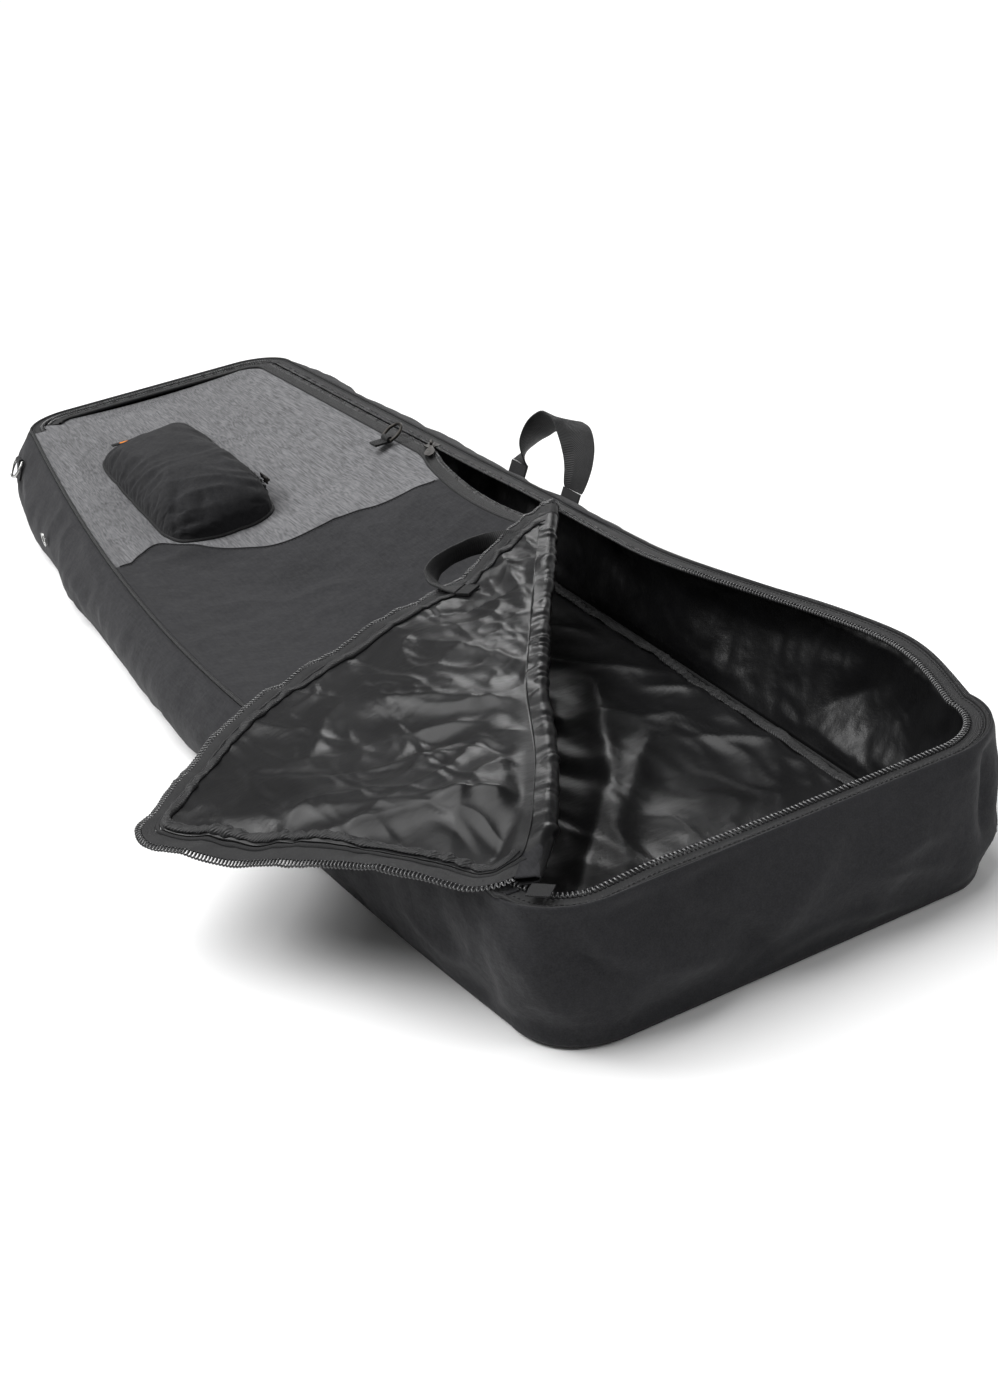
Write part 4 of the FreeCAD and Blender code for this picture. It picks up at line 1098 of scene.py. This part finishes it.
lidTapeEdges = matched(*(resampled(lidLine(k), 0.006) for k in inset["lidTape"]))
place(ribbonObject("lidTape", *lidTapeEdges, 0.0011, tape,
                   change=lidSlack), "bag_body", "zip_tape", "lid_zip_tape")
place(coilObject("lidCoil", lidLine(inset["lidCoil"]), nylon, change=lidSlack), "bag_body",
      "zip_coil", "lid_zip_coil")
place(tubeObject("lidPipe", resampled(lidLine(inset["lidPiping"], 0.0004), 0.004), 0.0021, piping,
                 10, change=lidSlack), "bag_body", "piping", "lid_piping")

# the flap: cut from the shut lid's near right corner and turned over the fold
flapRun = np.vstack([rightStations(np.linspace(foldStart[0] + 0.05, nearCornerX, 300)),
                     nearRun[::-1][1:]])


def flapDepth(points):
    return (points - foldStart) @ foldAcross


def flapLine(inward, up=0.0, clear=foldClear):
    line = rimPoints(flapRun, inward, up)
    return resampled(line[flapDepth(line) < -clear], 0.004)


flapFolds = [
    ((-0.699, 0.114, 0.14), (-0.622, 0.215, 0.14), 0.026, 0.010),
    ((-0.622, 0.215, 0.14), (-0.520, 0.322, 0.13), 0.030, 0.007),
    ((-0.182, -0.083, 0.14), (-0.366, -0.036, 0.14), 0.018, 0.008),
    ((-0.366, -0.036, 0.14), (-0.440, -0.012, 0.14), 0.014, 0.006),
    ((-0.690, 0.125, 0.14), (-0.735, 0.195, 0.14), 0.016, -0.006),
    ((-0.735, 0.150, 0.14), (-0.762, 0.205, 0.14), 0.012, 0.007),
    ((-0.640, 0.095, 0.14), (-0.480, 0.165, 0.14), 0.030, -0.005),
    ((-0.540, 0.060, 0.14), (-0.420, 0.150, 0.14), 0.020, 0.005),
    ((-0.480, 0.020, 0.14), (-0.330, 0.080, 0.14), 0.018, 0.005),
    ((-0.430, 0.110, 0.14), (-0.355, 0.135, 0.14), 0.012, 0.004),
    ((-0.470, 0.230, 0.14), (-0.400, 0.190, 0.14), 0.016, 0.004),
    ((-0.560, 0.190, 0.14), (-0.450, 0.290, 0.14), 0.020, -0.004),
    ((-0.300, -0.060, 0.14), (-0.290, 0.040, 0.14), 0.016, -0.005),
    ((-0.250, -0.090, 0.14), (-0.230, -0.020, 0.14), 0.012, 0.005),
    ((-0.580, 0.130, 0.14), (-0.520, 0.240, 0.14), 0.016, 0.004),
    ((-0.655, 0.180, 0.14), (-0.600, 0.300, 0.14), 0.016, 0.005),
]


def flapShift(points):
    # relief of the turned-back flap, the same for its cloth, lining and edge
    lengthwise, across, up = foldCoordinates(points)
    hold = smooth(across, 0.0030, 0.024)
    flat = points * [1, 1, 0] + [0, 0, 0.14]
    relief = (rumple(flat, 0.24, 111) * 0.0055 + crinkle(flat, 0.15, 115, (1.4, 0.8, 1)) * 0.0034
              + crinkle(flat, 0.050, 119, (1.9, 0.7, 1)) * 0.0015 + creases(flat, flapFolds))
    rest = 0.004 * np.sin(math.pi * np.clip(across / 0.36, 0, 1))
    past = smooth(points[..., 1], 0.24, 0.42)
    moved = points.copy()
    moved[..., 2] += hold * (relief - rest) - 0.016 * past
    return tucked(moved)


def turnedFlap(points):
    return flapShift(wrapped(points))


edge = rimPoints(flapRun, inset["lidEdge"])
edge = resampled(edge[flapDepth(edge) < -0.0084], 0.0030)
lengthwise, depth, _ = foldCoordinates(edge)
reach = (lengthwise - lengthwise.min()) / (lengthwise.max() - lengthwise.min())
gaps = np.concatenate([[0], np.linalg.norm(np.diff(edge, axis=0), axis=1).cumsum()])
even = 0.55 * gaps / gaps[-1] + 0.45 * reach
foldSpan = fromFold(lengthwise[0] + (lengthwise[-1] - lengthwise[0]) * even,
                    0 * even - 0.0082, 0 * even)
share = np.linspace(0, 1, 120)[:, None, None]
flapFlat = edge * (1 - share) + foldSpan * share


def flapPiece(name, up, material, flip, thickness, offset):
    flat = flapFlat + np.array([0, 0, up])
    return gridObject(name, turnedFlap(flat), material, flip=flip, thickness=thickness,
                      offset=offset)


flapLining = flapPiece("flapLining", -0.0014, lining, False, 0.0005, 1)
place(flapLining, "lid_flap", "black_lining", "flap_lining")
flapCloth = flapPiece("flapCloth", 0.0006, charcoal, True, 0.0013, 1)
place(flapCloth, "lid_flap", "charcoal_polyester", "flap_panel")
flapTapeEdges = matched(*(resampled(flapLine(k), 0.003) for k in inset["lidTape"]))
place(ribbonObject("flapTape", *flapTapeEdges, 0.0011, tape,
                   change=turnedFlap), "lid_flap", "zip_tape", "flap_zip_tape")
place(coilObject("flapCoil", flapLine(inset["lidCoil"]), nylon, change=turnedFlap), "lid_flap",
      "zip_coil", "flap_zip_coil")
place(tubeObject("flapPipe", flapLine(inset["lidPiping"]), 0.0020, piping, 10, change=turnedFlap),
      "lid_flap", "piping", "flap_piping")

bandLine = flapLine(inset["lidEdge"] + 0.0065, -0.0028)
bandLine = resampled(bandLine, 0.0016)
way, side, rise = sideways(bandLine)
pinch = 0.5 + 0.5 * rumple(bandLine, 0.012, 131, (1, 1, 1), 6)
angle = np.linspace(0, 2 * math.pi, 12, endpoint=False)[:, None, None]
ring = (bandLine + np.cos(angle) * side * (0.0048 * (0.7 + 0.4 * pinch))[None, :, None]
        + np.sin(angle) * rise * (0.0019 * (0.5 + pinch))[None, :, None])
ring = turnedFlap(ring)
flapBand = link(fillMesh("flapBand", ring.reshape(-1, 3), gridFaces(12, len(bandLine), True),
                         gridUv(ring)), "flapBand")
flapBand.data.materials.append(liningTrim)
place(flapBand, "lid_flap", "piping", "flap_seam_binding")
print("stage: flap")

# the roll of the fold, which joins lid and flap
rollShare = np.linspace(0.004, 1.0, 300)
rollEdge = shutX(inset["lidEdge"], 0.0)
rollFrom = (rollEdge - foldStart[0]) / foldWay[0]
rollLengths = rollFrom + (0.800 - rollFrom) * rollShare
rollAcross = np.linspace(0.0096, -0.0096, 56)[:, None]


def rollPiece(name, up, material, flip, thickness, offset):
    flat = fromFold(np.broadcast_to(rollLengths, (56, 300)), rollAcross + 0 * rollLengths,
                    0 * rollAcross + 0 * rollLengths + up)
    pinch = crinkle(flat, 0.048, 141, (1.0, 0.6, 1)) * 0.0022 + rumple(flat, 0.15, 145) * 0.0012
    ends = (1 - (rollAcross / rollAcross[0]) ** 4) * smooth(rollShare, 0, 0.03)
    flat = flat + foldUp * (pinch * ends)[..., None]
    points = tucked(wrapped(flat))
    made = gridObject(name, points, material, flip=flip, thickness=thickness, offset=offset)
    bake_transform(made)
    return made


rollPiece("foldLining", -0.0014, lining, False, 0.0005, 1)
rollPiece("foldCloth", 0.0002, charcoal, True, 0.0010, 1)


def bentLine(inward, up=0.0):
    x = np.linspace(shutX(inward, 0.0085), shutX(inward, -0.0085), 40)
    return rimPoints(rightStations(x), inward, up)


for name, build in (
    ("foldTape", lambda: ribbonObject("foldTape", bentLine(inset["lidTape"][0]),
                                      bentLine(inset["lidTape"][1]), 0.0011, tape,
                                      change=wrapped)),
    ("foldCoil", lambda: coilObject("foldCoil", bentLine(inset["lidCoil"]), nylon,
                                    change=wrapped)),
    ("foldPipe", lambda: tubeObject("foldPipe", resampled(bentLine(inset["lidPiping"]), 0.0015),
                                    0.0020, piping, 10, change=wrapped)),
):
    bent = build()
    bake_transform(bent)
print("stage: fold")

# pocket: a stuffed pouch on the lid, puffed by a short cloth simulation
pocketLow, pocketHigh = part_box("pocket_panel")
pouch = {
    "middle": ((pocketLow.x + pocketHigh.x) / 2, (pocketLow.y + pocketHigh.y) / 2),
    "half": ((pocketHigh.x - pocketLow.x) / 2 + 0.002, (pocketHigh.y - pocketLow.y) / 2 + 0.003),
    "top": pocketHigh.z - 0.001,
    "grid": (120, 68),
}
pouchFolds = [
    ((0.270, 0.128, 0.085), (0.320, 0.100, 0.118), 0.012, -0.007),
    ((0.262, 0.095, 0.080), (0.290, 0.080, 0.115), 0.014, -0.006),
    ((0.290, 0.118, 0.105), (0.400, 0.085, 0.120), 0.018, 0.004),
    ((0.590, 0.105, 0.100), (0.480, 0.075, 0.120), 0.018, -0.004),
    ((0.585, 0.020, 0.105), (0.500, 0.050, 0.120), 0.014, 0.004),
    ((0.270, 0.015, 0.090), (0.340, 0.045, 0.118), 0.016, -0.005),
]


def pouchPoints():
    # rounded box: |x/a|^6 + |y/b|^5 = 1 in plan, and a height of (1 - g^5.5)^(1/2.2)
    s = np.linspace(-1, 1, pouch["grid"][0])[None, :]
    t = np.linspace(-1, 1, pouch["grid"][1])[:, None]
    q = np.maximum(np.maximum(np.abs(s), np.abs(t)), 1e-6)
    sideS, sideT = s / q, t / q
    edge = (np.abs(sideS) ** 6 + np.abs(sideT) ** 5) ** (-1 / 5.5)
    g = np.sin(math.pi / 2 * q) ** 0.9
    x = pouch["middle"][0] + pouch["half"][0] * edge * sideS * g
    y = pouch["middle"][1] + pouch["half"][1] * edge * sideT * g
    rise = np.maximum(0, 1 - g ** 5.5) ** (1 / 2.2)
    base = lidHeight(x, y) - 0.003
    tall = pouch["top"] - 0.008 * np.abs(s) ** 2 - 0.010 * smooth(t, -0.2, 1) - base
    points = np.stack([x, y, base + tall * rise], -1)
    lift = smooth(rise, 0.05, 0.6)
    points[..., 2] += (crinkle(points, 0.085, 151) * 0.0016 + rumple(points, 0.06, 155) * 0.0008
                       + creases(points, pouchFolds)) * lift
    return points, rise


def puffed(made, hold, frames=20):
    # cloth under a little pressure, its lower edge held; each point then moves 3 mm at most
    rest = np.zeros(len(made.data.vertices) * 3, np.float32)
    made.data.vertices.foreach_get("co", rest)
    group = made.vertex_groups.new(name="held")
    for weight in np.unique(np.round(hold, 1)):
        chosen = np.nonzero(np.round(hold, 1) == weight)[0]
        group.add(chosen.tolist(), float(weight), "REPLACE")
    cloth = made.modifiers.new("cloth", "CLOTH")
    settings = cloth.settings
    settings.quality = 6
    settings.mass = 0.25
    settings.tension_stiffness = settings.compression_stiffness = 12
    settings.bending_stiffness = 0.6
    settings.use_pressure = True
    settings.uniform_pressure_force = 4.0
    settings.shrink_min = -0.035
    settings.vertex_group_mass = "held"
    settings.effector_weights.gravity = 0
    cloth.collision_settings.use_collision = False
    cloth.point_cache.frame_start, cloth.point_cache.frame_end = 1, frames
    scene = bpy.context.scene
    for number in range(1, frames + 1):
        scene.frame_set(number)
    shaped = made.evaluated_get(bpy.context.evaluated_depsgraph_get()).to_mesh()
    moved = np.zeros(len(shaped.vertices) * 3, np.float32)
    shaped.vertices.foreach_get("co", moved)
    made.modifiers.remove(cloth)
    scene.frame_set(1)
    shift = (moved - rest).reshape(-1, 3)
    size = np.linalg.norm(shift, axis=1)[:, None] + 1e-9
    made.data.vertices.foreach_set("co", (rest.reshape(-1, 3) + shift / size * np.minimum(
        size, 0.003)).astype(np.float32).ravel())
    made.data.update()


points, rise = pouchPoints()
pocketPuff = gridObject("pocketPuff", points, pocketCloth, flip=False)
puffed(pocketPuff, np.clip(1 - smooth(rise, 0.02, 0.35), 0, 1).ravel())
found = np.zeros(len(pocketPuff.data.vertices) * 3, np.float32)
pocketPuff.data.vertices.foreach_get("co", found)
skin = found.reshape(points.shape)
finer = pocketPuff.modifiers.new("finer", "SUBSURF")
finer.levels = finer.render_levels = 1
shell = pocketPuff.modifiers.new("cloth", "SOLIDIFY")
shell.thickness, shell.offset = 0.0012, -1
place(pocketPuff, "bag_body", "charcoal_polyester", "pocket_panel")

rim = np.vstack([skin[0, :-1], skin[:-1, -1], skin[-1, :0:-1], skin[:0:-1, 0]])
rim[:, 2] = lidHeight(rim[:, 0], rim[:, 1]) + 0.0022
binding = tubeObject("pocketBinding", rim, 0.0022, piping, 8, closed=True)
place(binding, "bag_body", "piping")

# pocket zip, along the pouch's right side: rows of the skin, lifted a little off it
sideRows = skin[:26]
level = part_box("pocket_zip_coil")
zipLevel = (level[0].z + level[1].z) / 2


def skinLine(z):
    # the line at height z on the right side of the pouch, for the columns the zip covers
    columns = np.nonzero((skin[4, :, 0] > level[0].x) & (skin[4, :, 0] < level[1].x))[0]
    line = []
    for k in columns:
        order = np.argsort(sideRows[:, k, 2])
        y = np.interp(z, sideRows[order, k, 2], sideRows[order, k, 1])
        line.append((sideRows[8, k, 0], y, z))
    return resampled(np.array(line), 0.003)


tapeLow, tapeHigh = matched(skinLine(zipLevel - 0.009), skinLine(zipLevel + 0.009))
out = np.array([0, -0.0007, 0])
pocketTape = ribbonObject("pocketTape", tapeLow + out, tapeHigh + out, 0.0010, tape,
                          up=np.array([0, -1.0, 0]))
place(pocketTape, "bag_body", "zip_tape", "pocket_zip_tape")
pocketCoil = coilObject("pocketCoil", skinLine(zipLevel) + 2.6 * out, nylon, pitch=0.0026,
                        width=0.0050, height=0.0024, wire=0.0005, up=(0, -1, 0))
place(pocketCoil, "bag_body", "zip_coil", "pocket_zip_coil")
print("stage: pocket")


# webbing handles: a strip that leaves each foot flat and turns on edge along the bow
def webbingLoop(name, foot, spanWay, reachWay, halfSpan, reach, width, thickness, material, twist,
                lean=0.0):
    # centre line: x = a cos(t), y = b sin(t); the width turns by 90 degrees sin(t), plus a twist
    t = np.linspace(0, math.pi, 130)
    spanWay, reachWay = np.array(spanWay, float), np.array(reachWay, float)
    normal = np.cross(spanWay, reachWay)
    line = (np.array(foot) + np.cos(t)[:, None] * spanWay * halfSpan
            + np.sin(t)[:, None] * reachWay * reach + (lean * np.sin(t) ** 2)[:, None] * normal)
    way = np.gradient(line, axis=0)
    way /= np.linalg.norm(way, axis=1)[:, None]
    radial = np.cross(way, normal)
    turn = math.pi / 2 * np.sin(t) ** 0.8 + twist * np.sin(2 * t)
    across = np.cos(turn)[:, None] * radial + np.sin(turn)[:, None] * normal
    face = np.cross(way, across)
    wave = 0.0008 * rumple(line, 0.03, 171)[:, None]
    section = [(-1, -0.7), (-0.96, -1), (-0.3, -1.15), (0.3, -1.15), (0.96, -1), (1, -0.7),
               (1, 0.7), (0.96, 1), (0.3, 1.15), (-0.3, 1.15), (-0.96, 1), (-1, 0.7)]
    points = np.stack([line + across * (u * width / 2) + face * (v * thickness / 2 + wave)
                       for u, v in section], 0)
    made = link(fillMesh(name, points.reshape(-1, 3), gridFaces(12, len(t), True),
                         gridUv(points)), name)
    made.data.materials.append(material)
    return made


carryJoint = joints["carry_handle_swing"]
lift = math.radians(62)
carryLow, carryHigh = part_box("carry_handle")
carryReach = (carryHigh.z - carryLow.z) / math.sin(lift) - 0.019
carryLoop = webbingLoop("carryLoop", carryJoint["pos_m"], (1, 0, 0),
                        (0, -math.cos(lift), math.sin(lift)),
                        (carryHigh.x - carryLow.x) / 2 - 0.019,
                        carryReach, 0.038, 0.0024, webbing, 0.5)
place(carryLoop, "carry_loop", "webbing", "carry_handle")

flapJoint = joints["flap_handle_swing"]
flapSpan = -np.array(flapJoint["axis"])
flapOut = np.cross(flapSpan, foldUp)
flapOut *= np.sign(flapOut @ np.array([0.85, 0.52, 0]))
flapOut = flapOut - (flapOut @ flapSpan) * flapSpan
flapOut /= np.linalg.norm(flapOut)
flapLoop = webbingLoop("flapLoop", np.array(flapJoint["pos_m"]) + [0, 0, -0.001], flapSpan,
                       flapOut + np.array([0, 0, -0.06]), 0.060, 0.062, 0.020, 0.0022, webbing,
                       0.35)
place(flapLoop, "flap_loop", "webbing", "flap_handle")
print("stage: handles")

# hardware and trim that keeps its CAD shape
shown = {
    "base_panel": charcoal, "zip_slider": gunmetal, "zip_pull": gunmetal, "side_d_ring": gunmetal,
    "corner_d_ring": nickel, "pocket_slider": gunmetal, "pocket_pull": gunmetal,
    "side_ring_tab": sewnWebbing, "corner_ring_strap": sewnWebbing, "zip_end_stop": sewnWebbing,
    "vent_eyelet": nickel, "pocket_label_tab": label, "handle_patches": sewnWebbing,
    "flap_handle_patches": sewnWebbing, "carry_handle": sewnWebbing, "flap_handle": sewnWebbing,
    "pocket_panel": pocketCloth, "pocket_zip_tape": tape, "pocket_zip_coil": nylon,
}
for node, material in shown.items():
    item = frame["nodes"][node]
    if item.hide_render:
        continue
    item.data.materials.clear()
    item.data.materials.append(material)
    if node in ("zip_slider", "zip_pull", "pocket_slider", "pocket_pull", "side_ring_tab",
                "corner_ring_strap", "pocket_label_tab"):
        rounded = item.modifiers.new("edges", "BEVEL")
        rounded.width = 0.0004
        rounded.segments = 2
        rounded.limit_method = "ANGLE"
